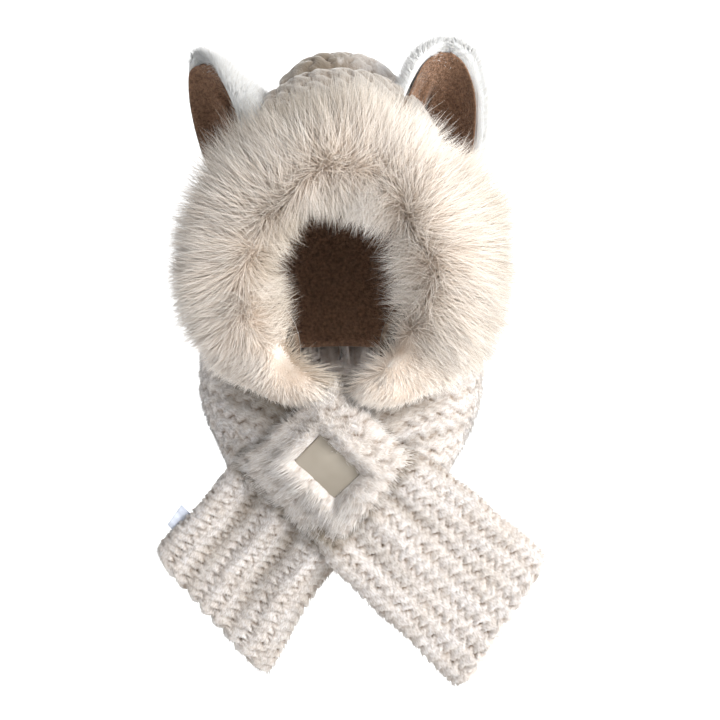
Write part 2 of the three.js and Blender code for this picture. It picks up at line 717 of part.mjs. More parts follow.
const hoodGroup = new THREE.Group();
hoodGroup.add(piece('hood_shell', hoodShell(), PLUSH));
hoodGroup.add(piece('hood_lining', hoodLining(), BROWN_VELVET));
for (const ear of EARS) {
  hoodGroup.add(piece(`ear_${ear.name}_shell`, earShell(ear, 0).subtract(hood), WHITE_PLUSH));
  const lining = earLining(ear, 0).subtract(hood);
  hoodGroup.add(piece(`ear_${ear.name}_lining`, lining, BROWN_VELVET));
}
const trim = furTrim().subtract(hood).subtract(earRoom);
hoodGroup.add(piece('fur_trim', trim.subtract(scarfRoom).subtract(loopRoom), FUR));

const scarfGroup = new THREE.Group();
scarfGroup.add(piece('scarf_under_half', under, PLUSH));
scarfGroup.add(piece('scarf_over_half', over, PLUSH));
scarfGroup.add(piece('keeper_loop', keeperLoop(0).subtract(hood).subtract(scarfRoom), PLUSH));
scarfGroup.add(piece('patch', patch(), PATCH_LEATHER));
scarfGroup.add(piece('side_label', sideLabel().subtract(underRoom), LABEL_SATIN));

const hoodScarf = new THREE.Group();
hoodScarf.add(hoodGroup, scarfGroup);

export default hoodScarf;
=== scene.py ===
# %% [markdown]
# # An animal hood scarf
#
# The object is a child's bonnet of embossed plush with two cupped ears, a deep
# fur trim round the face and a scarf whose ends cross under the chin. All of it
# is soft, so every solid of the plain model is dressed here by a finer piece.
# The pieces are drawn from the same rules as the solids, in millimetres, with
# the wearer's face toward -Y and +X at the viewer's right.

# %% Load the solids
import math

import bpy
import numpy as np
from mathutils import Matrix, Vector
from mathutils.bvhtree import BVHTree


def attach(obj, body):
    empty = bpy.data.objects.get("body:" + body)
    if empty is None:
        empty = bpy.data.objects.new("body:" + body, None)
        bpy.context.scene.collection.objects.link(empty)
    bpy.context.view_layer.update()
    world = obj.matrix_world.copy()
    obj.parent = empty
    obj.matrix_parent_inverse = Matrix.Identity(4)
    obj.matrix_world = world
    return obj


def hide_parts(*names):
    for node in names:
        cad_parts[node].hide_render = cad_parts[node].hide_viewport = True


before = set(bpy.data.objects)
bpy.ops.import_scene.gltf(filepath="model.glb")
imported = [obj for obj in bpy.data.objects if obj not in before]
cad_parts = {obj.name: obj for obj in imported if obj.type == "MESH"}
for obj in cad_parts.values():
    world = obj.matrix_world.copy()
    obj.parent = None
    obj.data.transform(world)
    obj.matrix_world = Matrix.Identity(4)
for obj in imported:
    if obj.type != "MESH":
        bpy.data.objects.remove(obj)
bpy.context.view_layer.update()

# %% [markdown]
# ## Reading a table as a smooth curve
#
# Most sizes change along a piece: an ear narrows to its tip, the fur thins to
# the chin. A short table of stations with a smooth curve through them says that
# better than a formula, and numpy reads thousands of points of it at once.


# %% A curve through a table
def curve(table, column, share):
    """Reads one column of a table of stations (the first column) at every share."""
    rows = np.array(table, float)
    at, value = rows[:, 0], rows[:, column]
    slope = np.empty_like(value)
    slope[1:-1] = (value[2:] - value[:-2]) / (at[2:] - at[:-2])
    slope[0] = (value[1] - value[0]) / (at[1] - at[0])
    slope[-1] = (value[-1] - value[-2]) / (at[-1] - at[-2])
    share = np.clip(share, at[0], at[-1])
    i = np.clip(np.searchsorted(at, share) - 1, 0, len(at) - 2)
    span = at[i + 1] - at[i]
    t = (share - at[i]) / span
    return (
        (2 * t**3 - 3 * t**2 + 1) * value[i]
        + (t**3 - 2 * t**2 + t) * span * slope[i]
        + (3 * t**2 - 2 * t**3) * value[i + 1]
        + (t**3 - t**2) * span * slope[i + 1]
    )


def ease(value, low, high):
    t = np.clip((value - low) / (high - low), 0, 1)
    return t * t * (3 - 2 * t)


def signed_power(value, power):
    return np.sign(value) * np.abs(value) ** power


def unit(vectors):
    return vectors / np.maximum(np.linalg.norm(vectors, axis=-1, keepdims=True), 1e-9)


def wander(points, size, seed):
    """A smooth random number from -1 to 1 at each point, with swells of about that size."""
    rng = np.random.default_rng(seed)
    total = np.zeros(points.shape[:-1])
    for _ in range(9):
        wave = unit(rng.normal(size=3)) * (2 * math.pi / (size * rng.uniform(1.6, 3.2)))
        total += np.sin(points @ wave + rng.uniform(0, 6.28))
    return total / 4.5


# %% [markdown]
# ## Making closed meshes
#
# A scarf end, an ear and the loop are flat tubes: a ring of points is repeated
# along a path and both ends are closed. The hood is a wall instead, an outer
# and an inner skin that are joined round their cut edges. One helper makes every
# mesh from such points: it turns the faces outward by looking at the volume that
# they enclose, and keeps any number that a material or a tree of nodes reads
# later as an attribute of the points.


# %% Meshes from points
MM = 0.001


def make_piece(name, points, faces, material, **values):
    faces = [tuple(int(i) for i in f) for f in faces]
    used = np.unique(np.concatenate([np.array(f) for f in faces]))
    new_index = np.zeros(len(points), int)
    new_index[used] = np.arange(len(used))
    faces = [tuple(new_index[list(f)].tolist()) for f in faces]
    points = points[used]
    corner = [(f[0], f[1], f[2]) for f in faces] + [(f[0], f[2], f[3]) for f in faces if len(f) > 3]
    corner = np.array(corner)
    a, b, c = points[corner[:, 0]], points[corner[:, 1]], points[corner[:, 2]]
    if np.einsum("ij,ij->i", a, np.cross(b, c)).sum() < 0:
        faces = [f[::-1] for f in faces]
    mesh = bpy.data.meshes.new(name)
    mesh.from_pydata((points * MM).tolist(), [], faces)
    for key, value in values.items():
        value = np.asarray(value, float).reshape(len(new_index), -1)[used]
        kind, field = ("FLOAT_VECTOR", "vector") if value.shape[1] == 3 else ("FLOAT", "value")
        mesh.attributes.new(key, kind, "POINT").data.foreach_set(field, value.ravel())
    mesh.shade_smooth()
    mesh.materials.append(material)
    if "grown" in values:
        facing = np.zeros(len(points) * 3)
        mesh.vertex_normals.foreach_get("vector", facing)
        mesh.attributes.new("facing", "FLOAT_VECTOR", "POINT").data.foreach_set("vector", facing)
    piece = bpy.data.objects.new(name, mesh)
    bpy.context.scene.collection.objects.link(piece)
    print(name, len(points), "points", sum(len(f) - 2 for f in faces), "triangles")
    return piece


# %% Faces of tubes and of walls
def tube_faces(rings, sides):
    """Faces of a closed flat tube whose rings each start at one of its two edges."""
    k, s = np.meshgrid(np.arange(rings - 1), np.arange(sides), indexing="ij")
    a, b = k * sides + s, k * sides + (s + 1) % sides
    faces = np.stack([a, b, b + sides, a + sides], -1).reshape(-1, 4).tolist()
    for base, turn in ((0, -1), ((rings - 1) * sides, 1)):
        for i in range(sides // 2 - 1):
            far = sides - 1 - i
            faces.append([base + i, base + i + 1, base + far - 1, base + far][::turn])
    return faces


def double_wall(outer, inner, faces):
    """Joins an outer and an inner skin with the same faces round their free edges."""
    count = len(outer)
    edges = {(f[i], f[(i + 1) % len(f)]) for f in faces for i in range(len(f))}
    rim = [(b, a, a + count, b + count) for a, b in sorted(edges) if (b, a) not in edges]
    back = [tuple(i + count for i in reversed(f)) for f in faces]
    return np.vstack([outer, inner]), [tuple(f) for f in faces] + back + rim


# %% Keeping pieces clear of one another
def as_tree(piece, only=None):
    """The faces of a piece, or the first of them, to ask how far a point is from them, in metres."""
    mesh = piece.data
    return BVHTree.FromPolygons([v.co for v in mesh.vertices], [p.vertices for p in mesh.polygons[:only]])


def keep_clear(points, trees, gap):
    """Moves the points that lie inside another piece out to its surface."""
    moved = 0
    for tree in trees:
        for i, point in enumerate(points):
            near, normal, _, _ = tree.find_nearest(Vector(point) * MM, 0.02)
            if near is not None and (Vector(point) * MM - near).dot(normal) < gap * MM:
                points[i] = (near + normal * gap * MM) / MM
                moved += 1
    print("moved", moved, "points clear")
    return points


# %% [markdown]
# ## Finishes
#
# There are six: embossed plush, the white plush of the ears, brown velvet, fur,
# matt leather on the patch and satin on the label. Those with pile have a second
# material for their strands. Pile and fur owe their look to sheen, the light that
# grazes the fibre ends, and to a colour that is deeper at the roots. Down in the
# seams of the relief the colour deepens too, which is painted shade. That depth
# is stored on the points as a number from 0 to 1 while the shape is made, so the
# colour can never slide off the relief.


# %% Helpers for nodes
def node(tree, kind, inputs=None, **settings):
    made = tree.nodes.new(kind)
    for key, value in settings.items():
        setattr(made, key, value)
    for key, value in (inputs or {}).items():
        if isinstance(value, bpy.types.NodeSocket):
            tree.links.new(value, made.inputs[key])
        else:
            made.inputs[key].default_value = value
    return made


def colour(red, green, blue):
    """A colour given as 0 to 255, as a painter's program shows it, made linear."""
    channels = [c / 255 for c in (red, green, blue)]
    return tuple(c / 12.92 if c < 0.04 else ((c + 0.055) / 1.055) ** 2.4 for c in channels) + (1.0,)


WHITE = colour(255, 255, 255)


def ramp(tree, factor, *stops):
    made = node(tree, "ShaderNodeValToRGB", {"Fac": factor})
    made.color_ramp.elements[0].position = stops[0][0]
    made.color_ramp.elements[0].color = stops[0][1]
    made.color_ramp.elements[1].position = stops[-1][0]
    made.color_ramp.elements[1].color = stops[-1][1]
    for position, value in stops[1:-1]:
        made.color_ramp.elements.new(position).color = value
    return made.outputs["Color"]


# %% Helpers for finishes
def finish_of(name, roughness, sheen=0.0, sheen_roughness=0.5, soft=0.0):
    """A material and its shader, with the numbers that are the same all over."""
    material = bpy.data.materials.new(name)
    material.use_nodes = True
    tree = material.node_tree
    shader = tree.nodes["Principled BSDF"]
    shader.inputs["Roughness"].default_value = roughness
    shader.inputs["Sheen Weight"].default_value = sheen
    shader.inputs["Sheen Roughness"].default_value = sheen_roughness
    shader.inputs["Specular IOR Level"].default_value = 0.2
    if soft:
        shader.inputs["Subsurface Weight"].default_value = soft
        shader.inputs["Subsurface Radius"].default_value = (1.0, 0.8, 0.6)
        shader.inputs["Subsurface Scale"].default_value = 0.004
    return material, tree, shader


def mix(tree, factor, a, b, blend="MIX"):
    """Mixes two colours; the inputs of the node are its factor (0) and its colours (6 and 7)."""
    made = node(tree, "ShaderNodeMix", data_type="RGBA", blend_type=blend)
    for socket, value in ((made.inputs[0], factor), (made.inputs[6], a), (made.inputs[7], b)):
        if isinstance(value, bpy.types.NodeSocket):
            tree.links.new(value, socket)
        else:
            socket.default_value = value
    return made.outputs[2]


def stored(tree, name):
    return node(tree, "ShaderNodeAttribute", attribute_name=name).outputs["Fac"]


def speckle(tree, scale, detail=3.0, stretch=(1, 1, 1)):
    place = node(tree, "ShaderNodeTexCoord").outputs["Object"]
    if stretch != (1, 1, 1):
        place = node(tree, "ShaderNodeMapping", {"Vector": place, "Scale": stretch}).outputs[0]
    return node(tree, "ShaderNodeTexNoise", {"Vector": place, "Scale": scale, "Detail": detail}).outputs[0]


def bump(tree, shader, height, strength, distance):
    made = node(tree, "ShaderNodeBump", {"Height": height, "Strength": strength, "Distance": distance})
    tree.links.new(made.outputs[0], shader.inputs["Normal"])


def painted_shade(tree, tone):
    """Painted shade: deepens a colour where cloth or hair lies in a hollow or close beside another piece.
    """
    return mix(tree, stored(tree, "hollow"), tone, mix(tree, 1.0, tone, colour(168, 160, 146), "MULTIPLY"))


# %% Embossed plush, and the pile that stands on it
def plush_finish():
    material, tree, shader = finish_of("embossed_plush", 0.9, 0.55, 0.4, 0.2)
    # Painted shade: the colour is darkest down in the seams and lightest on the tops of the tufts.
    depth = ramp(
        tree, stored(tree, "puff"),
        (0.0, colour(122, 102, 86)), (0.4, colour(174, 160, 149)),
        (0.78, colour(210, 205, 202)), (1.0, colour(222, 219, 218)),
    )
    streaks = node(tree, "ShaderNodeAttribute", attribute_name="combed").outputs["Vector"]
    streaks = node(
        tree, "ShaderNodeTexNoise",
        {"Vector": streaks, "Scale": 0.75, "Detail": 4.0, "Roughness": 0.6},
    )
    tufts = ramp(tree, streaks.outputs[0], (0.34, colour(214, 202, 191)), (0.58, WHITE))
    cloudy = ramp(tree, speckle(tree, 45), (0.35, colour(238, 232, 224)), (0.65, WHITE))
    depth = mix(tree, 0.6, depth, cloudy, "MULTIPLY")
    depth = mix(tree, 0.6, depth, tufts, "MULTIPLY")
    tree.links.new(painted_shade(tree, depth), shader.inputs["Base Color"])
    bump(tree, shader, streaks.outputs[0], 0.6, 0.001)
    return material


def pile_finish(name, root, middle, tip, embossed=False):
    """Strands: darker at the root, pale at the tip, and no two quite alike, with painted shade in hollows
    and, on embossed plush, in the seams.
    """
    material, tree, shader = finish_of(name, 0.75, 0.35, 0.4)
    along = ramp(tree, stored(tree, "tip"), (0.0, root), (0.55, middle), (1.0, tip))
    each = ramp(tree, stored(tree, "own"), (0.0, colour(238, 234, 229)), (1.0, WHITE))
    tone = painted_shade(tree, mix(tree, 1.0, along, each, "MULTIPLY"))
    # Painted shade: on embossed plush the strands are coloured darker in the seams.
    if embossed:
        seams = ramp(tree, stored(tree, "puff"), (0.3, colour(172, 156, 142)), (0.85, WHITE))
        tone = mix(tree, 1.0, tone, seams, "MULTIPLY")
    tree.links.new(tone, shader.inputs["Base Color"])
    return material


plush = plush_finish()
plush_pile = pile_finish(
    "plush_pile", colour(180, 168, 158), colour(215, 211, 209), colour(233, 232, 232), embossed=True
)
long_pile = pile_finish(
    "long_pile", colour(206, 196, 187), colour(238, 234, 231), colour(250, 249, 249), embossed=True
)


# %% White ear plush, brown velvet, fur, leather and satin
ear_pile = pile_finish("ear_pile", colour(216, 218, 219), colour(228, 230, 231), colour(240, 241, 243))
velvet_pile = pile_finish("velvet_pile", colour(98, 73, 57), colour(146, 114, 91), colour(186, 153, 128))
fur_strand = pile_finish("fur_strand", colour(216, 197, 180), colour(250, 240, 230), colour(255, 253, 250))


def ear_plush_finish():
    material, tree, shader = finish_of("ear_plush", 0.9, 0.5, 0.4, 0.2)
    shade = ramp(tree, speckle(tree, 120), (0.3, colour(220, 221, 221)), (0.7, colour(234, 235, 235)))
    tree.links.new(shade, shader.inputs["Base Color"])
    bump(tree, shader, speckle(tree, 1100, 3, (1, 1, 0.35)), 0.8, 0.001)
    return material


def velvet_finish():
    material, tree, shader = finish_of("brown_velvet", 0.85, 0.5, 0.35)
    brushed = ramp(tree, speckle(tree, 330, 5), (0.3, colour(104, 78, 61)), (0.7, colour(160, 126, 102)))
    # Painted shade: the velvet is coloured darker along its creases and toward the root of the ear.
    painted_crease_shade = ramp(tree, stored(tree, "crease"), (0.0, WHITE), (1.0, colour(92, 76, 66)))
    tree.links.new(mix(tree, 1.0, brushed, painted_crease_shade, "MULTIPLY"), shader.inputs["Base Color"])
    bump(tree, shader, speckle(tree, 520, 4), 0.9, 0.0016)
    return material


def undercoat_finish():
    material, tree, shader = finish_of("fur_undercoat", 0.85, 0.4, 0.4, 0.15)
    # Painted shade: the undercoat is coloured darker where it sinks between its locks.
    depth = ramp(tree, stored(tree, "lock"), (0.0, colour(200, 185, 171)), (1.0, colour(242, 234, 225)))
    patchy = ramp(tree, speckle(tree, 60, 4), (0.3, colour(224, 210, 198)), (0.7, WHITE))
    tree.links.new(mix(tree, 1.0, depth, patchy, "MULTIPLY"), shader.inputs["Base Color"])
    bump(tree, shader, speckle(tree, 700, 4), 1.0, 0.0015)
    return material


def leather_finish():
    material, tree, shader = finish_of("patch_leather", 0.72, 0.1)
    worn = ramp(tree, speckle(tree, 30, 2), (0.3, colour(144, 136, 124)), (0.7, colour(158, 150, 138)))
    tree.links.new(worn, shader.inputs["Base Color"])
    bump(tree, shader, speckle(tree, 1500, 3), 0.25, 0.0003)
    return material


def satin_finish():
    material, tree, shader = finish_of("label_satin", 0.42, 0.2)
    woven = speckle(tree, 900, 1, (1, 1, 6))
    threads = ramp(tree, woven, (0.3, colour(184, 191, 208)), (0.7, colour(218, 223, 234)))
    tree.links.new(threads, shader.inputs["Base Color"])
    return material


ear_plush = ear_plush_finish()
velvet = velvet_finish()
undercoat = undercoat_finish()
leather = leather_finish()
satin = satin_finish()
print("finishes", [material.name for material in bpy.data.materials])

# %% [markdown]
# ## Growing pile and fur with Geometry Nodes
#
# A strand is a tapered spike of four triangles, or ten where it has to bend. The
# tree scatters roots over a surface with a fixed seed, stands a spike on each and
# turns it along a combing direction that was stored on the surface. Once the
# spikes are real, their tips are bowed along a second stored direction and drawn
# together by a slow noise, which makes the locks. The number wanted is turned
# into a density from the area, so the piece never outgrows its share of
# triangles. A hair particle system would be quicker to comb by hand, but it isn't
# mesh and can't be handed on as a part.


# %% The tree of the strands
def strand_tree():
    tree = bpy.data.node_groups.new("strands", "GeometryNodeTree")
    face = tree.interface
    face.new_socket(name="Surface", in_out="INPUT", socket_type="NodeSocketGeometry")
    for name in ("Density", "Length", "Thickness", "Disorder", "Bow", "Clump", "Clump Scale"):
        face.new_socket(name=name, in_out="INPUT", socket_type="NodeSocketFloat")
    face.new_socket(name="Segments", in_out="INPUT", socket_type="NodeSocketInt")
    face.new_socket(name="Seed", in_out="INPUT", socket_type="NodeSocketInt")
    face.new_socket(name="Material", in_out="INPUT", socket_type="NodeSocketMaterial")
    face.new_socket(name="Strands", in_out="OUTPUT", socket_type="NodeSocketGeometry")
    given = tree.nodes.new("NodeGroupInput").outputs

    def named(name, kind="FLOAT"):
        made = node(tree, "GeometryNodeInputNamedAttribute", {"Name": name}, data_type=kind)
        return next(socket for socket in made.outputs if socket.enabled)

    def maths(operation, a, b):
        return node(tree, "ShaderNodeMath", {0: a, 1: b}, operation=operation).outputs[0]

    def scaled(vector, factor):
        made = node(tree, "ShaderNodeVectorMath", {0: vector, "Scale": factor}, operation="SCALE")
        return made.outputs[0]

    def added(a, b):
        return node(tree, "ShaderNodeVectorMath", {0: a, 1: b}, operation="ADD").outputs[0]

    def kept(geometry, name, value):
        wanted = {"Geometry": geometry, "Name": name, "Value": value}
        return node(tree, "GeometryNodeStoreNamedAttribute", wanted).outputs["Geometry"]

    spike = node(
        tree, "GeometryNodeMeshCone",
        {
            "Vertices": 3, "Side Segments": given["Segments"],
            "Radius Top": 0.0, "Radius Bottom": 1.0, "Depth": 1.0,
        },
        fill_type="NGON",
    ).outputs["Mesh"]
    place = node(tree, "GeometryNodeInputPosition").outputs[0]
    height = node(tree, "ShaderNodeSeparateXYZ", {0: place}).outputs[2]
    spike = kept(spike, "tip", height)

    density = maths("MULTIPLY", given["Density"], named("grown"))
    roots = node(
        tree, "GeometryNodeDistributePointsOnFaces",
        {"Mesh": given["Surface"], "Density": density, "Seed": given["Seed"]},
    ).outputs["Points"]
    chance = {2: 0.0, 3: 1.0, "Seed": given["Seed"]}
    chance = node(tree, "FunctionNodeRandomValue", chance, data_type="FLOAT").outputs[1]
    roots = kept(roots, "own", chance)
    stray = node(
        tree, "FunctionNodeRandomValue",
        {0: (-1.0, -1.0, -1.0), 1: (1.0, 1.0, 1.0), "Seed": 7}, data_type="FLOAT_VECTOR",
    ).outputs[0]
    toward = added(named("comb", "FLOAT_VECTOR"), scaled(stray, given["Disorder"]))
    turn = node(tree, "FunctionNodeAlignRotationToVector", {"Vector": toward}, axis="Z").outputs[0]
    spread = {2: 0.7, 3: 1.15, "Seed": 11}
    spread = node(tree, "FunctionNodeRandomValue", spread, data_type="FLOAT").outputs[1]
    length = maths("MULTIPLY", maths("MULTIPLY", given["Length"], spread), named("reach"))
    size = node(
        tree, "ShaderNodeCombineXYZ", {0: given["Thickness"], 1: given["Thickness"], 2: length}
    ).outputs[0]
    strands = node(
        tree, "GeometryNodeInstanceOnPoints",
        {"Points": roots, "Instance": spike, "Rotation": turn, "Scale": size},
    ).outputs[0]
    strands = node(tree, "GeometryNodeRealizeInstances", {"Geometry": strands}).outputs[0]
    place = node(tree, "GeometryNodeInputPosition").outputs[0]
    drawn = {"Vector": place, "Scale": given["Clump Scale"], "Detail": 1.0}
    drawn = node(tree, "ShaderNodeTexNoise", drawn)
    drawn = added(drawn.outputs["Color"], (-0.5, -0.5, -0.5))
    tip = named("tip")
    curl = maths("MULTIPLY", tip, tip)
    pull = added(scaled(named("bow", "FLOAT_VECTOR"), given["Bow"]), scaled(drawn, given["Clump"]))
    shift = scaled(scaled(pull, curl), named("reach"))
    strands = node(tree, "GeometryNodeSetPosition", {"Geometry": strands, "Offset": shift}).outputs[0]
    dyed = {"Geometry": strands, "Material": given["Material"]}
    strands = node(tree, "GeometryNodeSetMaterial", dyed).outputs[0]
    out = tree.nodes.new("NodeGroupOutput")
    tree.links.new(strands, out.inputs["Strands"])
    return tree


strands = strand_tree()


# %% Grow strands on a piece
BED_ONLY = ("grown", "reach", "comb", "bow", "lock", "facing", "combed", "crease")


def light_as_cloth(mesh, own_share, lit_through):
    """Turns the shading of strands toward the way their cloth faces, as deep pile takes light.

    Pale pile that faces forward is also turned to the front: light comes through it from behind.
    """
    count = len(mesh.vertices)
    own, cloth = np.zeros(count * 3), np.zeros(count * 3)
    mesh.vertex_normals.foreach_get("vector", own)
    mesh.attributes["facing"].data.foreach_get("vector", cloth)
    cloth = unit(cloth.reshape(-1, 3))
    front = np.array([0.25, -0.9, 0.35]) * lit_through * ease(0.5 - cloth[:, 1:2], 0, 0.7)
    shading = unit(own.reshape(-1, 3) * own_share + cloth + front)
    mesh.normals_split_custom_set_from_vertices(shading.tolist())


def grow(name, surface, count, material, seed, segments=1, own_share=0.5, lit_through=0.0, **sizes):
    """A plain mesh of strands on a surface that holds grown, reach, comb and bow."""
    mesh = surface.data
    area = np.zeros(len(mesh.polygons))
    mesh.polygons.foreach_get("area", area)
    share = np.zeros(len(mesh.vertices))
    mesh.attributes["grown"].data.foreach_get("value", share)
    grown = np.array([share[list(p.vertices)].mean() for p in mesh.polygons])
    bed = bpy.data.objects.new("bed", mesh)
    bpy.context.scene.collection.objects.link(bed)
    modifier = bed.modifiers.new("strands", "NODES")
    modifier.node_group = strands
    values = {"Density": count / float((area * grown).sum()), "Segments": segments, "Seed": seed}
    values.update({key.replace("_", " ").title(): value for key, value in sizes.items()})
    values["Material"] = material
    for socket in strands.interface.items_tree:
        if socket.in_out == "INPUT" and socket.name in values:
            modifier[socket.identifier] = values[socket.name]
    made = bpy.data.meshes.new_from_object(bed.evaluated_get(bpy.context.evaluated_depsgraph_get()))
    bpy.data.objects.remove(bed)
    made.name = name
    made.shade_smooth()
    light_as_cloth(made, own_share, lit_through)
    for key in [a.name for a in made.attributes if a.name in BED_ONLY]:
        made.attributes.remove(made.attributes[key])
    piece = bpy.data.objects.new(name, made)
    bpy.context.scene.collection.objects.link(piece)
    made.calc_loop_triangles()
    print(name, len(made.loop_triangles), "triangles")
    return piece


# %% [markdown]
# ## The embossed relief
#
# The plush is pressed into rows of puffy cells, like a coarse knit: each cell
# is a soft slanting tuft, 20 mm across and 14 mm along, that swells toward its
# lower end. The tufts stand in columns like the plaits of a rope, and the deep
# seams between the columns step from side to side. One rule gives the height of
# the relief anywhere on a flat cloth, and each piece lays its own two
# coordinates on it.


# %% The height of the relief
CELL_WIDE = 20.0
CELL_LONG = 14.0
PUFF_RISE = 7.4
SEAM_STEP = 0.2
SLANT = 0.55


def puffs(across, along):
    """Height from 0 in the seams to 1 on a tuft, for places counted in cells."""
    border = np.floor(across + 0.5)
    near_border = 1 - 2 * np.abs(across - border)
    stepping = np.sin(2 * math.pi * along + border * math.pi)
    stepping = stepping + 0.3 * np.sin(1.7 * along + border * 2.3)
    across = across + SEAM_STEP * stepping * near_border
    column = np.floor(across)
    beside = (across - column - 0.5) * 2
    row = along + 0.5 * np.mod(column, 2) + SLANT * beside
    row = row + 0.16 * np.sin(along * 1.3 + column * 1.7)
    ahead = row - np.floor(row)
    climb = np.sqrt(1 - (1 - np.clip(ahead / 0.5, 0, 1)) ** 2)
    fall = np.sqrt(1 - np.clip((ahead - 0.7) / 0.3, 0, 1) ** 2)
    beside_seam = 1 - np.clip(1 - np.abs(beside) ** 2.6, 0, 1) ** 0.55
    below_seam = 1 - climb * fall
    notched = 0.5 + 0.5 * beside
    height = (1 - 0.62 * beside_seam) * (1 - (0.2 + 0.42 * notched) * below_seam)
    return np.clip(height - 0.6 * beside_seam * below_seam * notched, 0, 1)


# %% [markdown]
# ## The hood
#
# The bonnet is one strip from the forehead over the crown to the nape with a
# panel at each side. It is a wall round an egg, open at the face and the neck.
# A grid in the two directions of the egg is the direct way: the outer skin
# carries the relief, the inner skin is smooth, and what falls in the face
# opening is left out before the edges are joined. The plush is folded on the
# crown, which shows between the ears.


# %% Sizes and rings of the hood
HEAD_HALF_WIDTH = 92.0
HEAD_FRONT = 108.0
HEAD_BACK = 108.0
HOOD_DROP = 285.0
HOOD_INSIDE = 2.3
HOOD_OUTSIDE = 8.3
FACE_CENTRE = -160.0
FACE_HALF_WIDTH = 76.0
FACE_SLOT_HALF_WIDTH = 38.0
FACE_SLOT_END = -260.0
PANEL_SEAM = 63.0
# share of the way down, drop, half width, depth in front and behind
HOOD_RINGS = [
    (0.0, 0.0, 0.0, 0.0, 0.0),
    (0.1, 0.014, 0.31, 0.29, 0.34),
    (0.2, 0.058, 0.6, 0.55, 0.63),
    (0.3, 0.135, 0.81, 0.76, 0.84),
    (0.4, 0.235, 0.94, 0.9, 0.96),
    (0.5, 0.35, 1.0, 0.98, 1.0),
    (0.64, 0.52, 1.03, 1.0, 0.99),
    (0.78, 0.7, 1.1, 0.95, 0.9),
    (0.9, 0.87, 1.2, 0.84, 0.8),
    (1.0, 1.0, 1.26, 0.74, 0.75),
]
# place from front to back, breadth and rise of each ridge or valley
CROWN_FOLDS = [(-44.0, 10.0, 4.0), (-18.0, 13.0, -13.0), (20.0, 25.0, 15.0)]
print("hood", 2 * HEAD_HALF_WIDTH, "mm wide and", HEAD_FRONT + HEAD_BACK, "mm deep inside")


# %% The egg of the hood and the folds on its crown
def hood_point(at, turn, grow_out):
    """at runs from the crown (0) to the bottom edge (1), turn once round from the back."""
    angle = turn * 2 * math.pi
    back, side = np.cos(angle), np.sin(angle)
    square = np.where(back < 0, 0.78, 0.92)
    in_front, behind = curve(HOOD_RINGS, 3, at) * HEAD_FRONT, curve(HOOD_RINGS, 4, at) * HEAD_BACK
    depth = np.where(back < 0, in_front, behind)
    half = curve(HOOD_RINGS, 2, at) * HEAD_HALF_WIDTH
    dome = np.minimum(1, at / 0.5) * math.pi / 2
    out = grow_out * np.sin(dome) + 2.6 * at**4 * np.cos(11 * angle)
    x = (half + out) * signed_power(side, square)
    y = (depth + out) * signed_power(back, square)
    z = grow_out * np.cos(dome) - curve(HOOD_RINGS, 1, at) * HOOD_DROP
    return np.stack([x, y, z], -1)


def swell(place, centre, breadth, power=2):
    """1 at a place and falling away softly on both sides of it."""
    return np.exp(-(((place - centre) / breadth) ** power))


def crown_folds(points):
    """How far the cloth is lifted or sunk where it is folded between the ears."""
    x, y, z = points[..., 0], points[..., 1], points[..., 2]
    on_crown = swell(x, -3, 56, 4) * ease(z, -60, -10)
    return on_crown * sum(rise * swell(y, centre, breadth) for centre, breadth, rise in CROWN_FOLDS)


# %% The face opening
def face_edge(hem):
    """Half width of the face opening at heights from the neck up, as two rows."""
    t = np.linspace(0, 1, 40)
    half, slot = FACE_HALF_WIDTH + hem, FACE_SLOT_HALF_WIDTH + hem
    middle = (FACE_CENTRE + FACE_SLOT_END) / 2
    low = FACE_CENTRE * (1 - t) ** 3 + 3 * middle * (1 - t) ** 2 * t
    low = low + 3 * middle * (1 - t) * t**2 + FACE_SLOT_END * t**3
    wide = half * ((1 - t) ** 3 + 3 * (1 - t) ** 2 * t) + slot * (3 * (1 - t) * t**2 + t**3)
    arch = np.linspace(0, math.pi / 2, 40)
    height = np.concatenate([low[::-1], FACE_CENTRE + half * np.sin(arch)[1:]])
    width = np.concatenate([wide[::-1], half * np.cos(arch)[1:]])
    return height, width


def hood_grid(steps, turns, hem):
    """Shares of a grid on the hood, its faces, and which points edge its face opening."""
    at = np.linspace(0.02, 1, steps) ** 1.1
    at, turn = np.meshgrid(at, np.arange(turns) / turns, indexing="ij")
    k, s = np.meshgrid(np.arange(steps - 1), np.arange(turns), indexing="ij")
    a, b = k * turns + s, k * turns + (s + 1) % turns
    faces = np.stack([a, a + turns, b + turns, b], -1).reshape(-1, 4)
    middle = hood_point(at, turn, 5.0).reshape(-1, 3)
    height, width = face_edge(hem)
    centre = middle[faces].mean(axis=1)
    opened = np.interp(centre[:, 2], height, width, left=width[0], right=-1)
    cut = (centre[:, 1] < 0) & (np.abs(centre[:, 0]) < opened)
    kept = faces[~cut].tolist()
    pole = len(middle)
    kept += [[pole, s, (s + 1) % turns] for s in range(turns)]
    edges = {(f[i], f[(i + 1) % len(f)]) for f in kept for i in range(len(f))}
    free = sorted({v for a, b in edges if (b, a) not in edges for v in (a, b)})
    on_face = [v for v in free if middle[v, 1] < 0 and (steps - 1) * turns > v]
    return at, turn, kept, np.array(on_face)


def trim_to_face(points, on_face, hem):
    """Moves the jagged free edge onto the smooth outline of the face opening."""
    p = points[on_face]
    height, width = face_edge(hem)
    above = p[:, 2] - FACE_CENTRE
    scale = (FACE_HALF_WIDTH + hem) / np.maximum(np.hypot(p[:, 0], above), 1)
    x = np.where(above > 0, p[:, 0] * scale, np.sign(p[:, 0]) * np.interp(p[:, 2], height, width))
    z = np.where(above > 0, FACE_CENTRE + above * scale, p[:, 2])
    points[on_face, 0], points[on_face, 2] = x, z
    return points


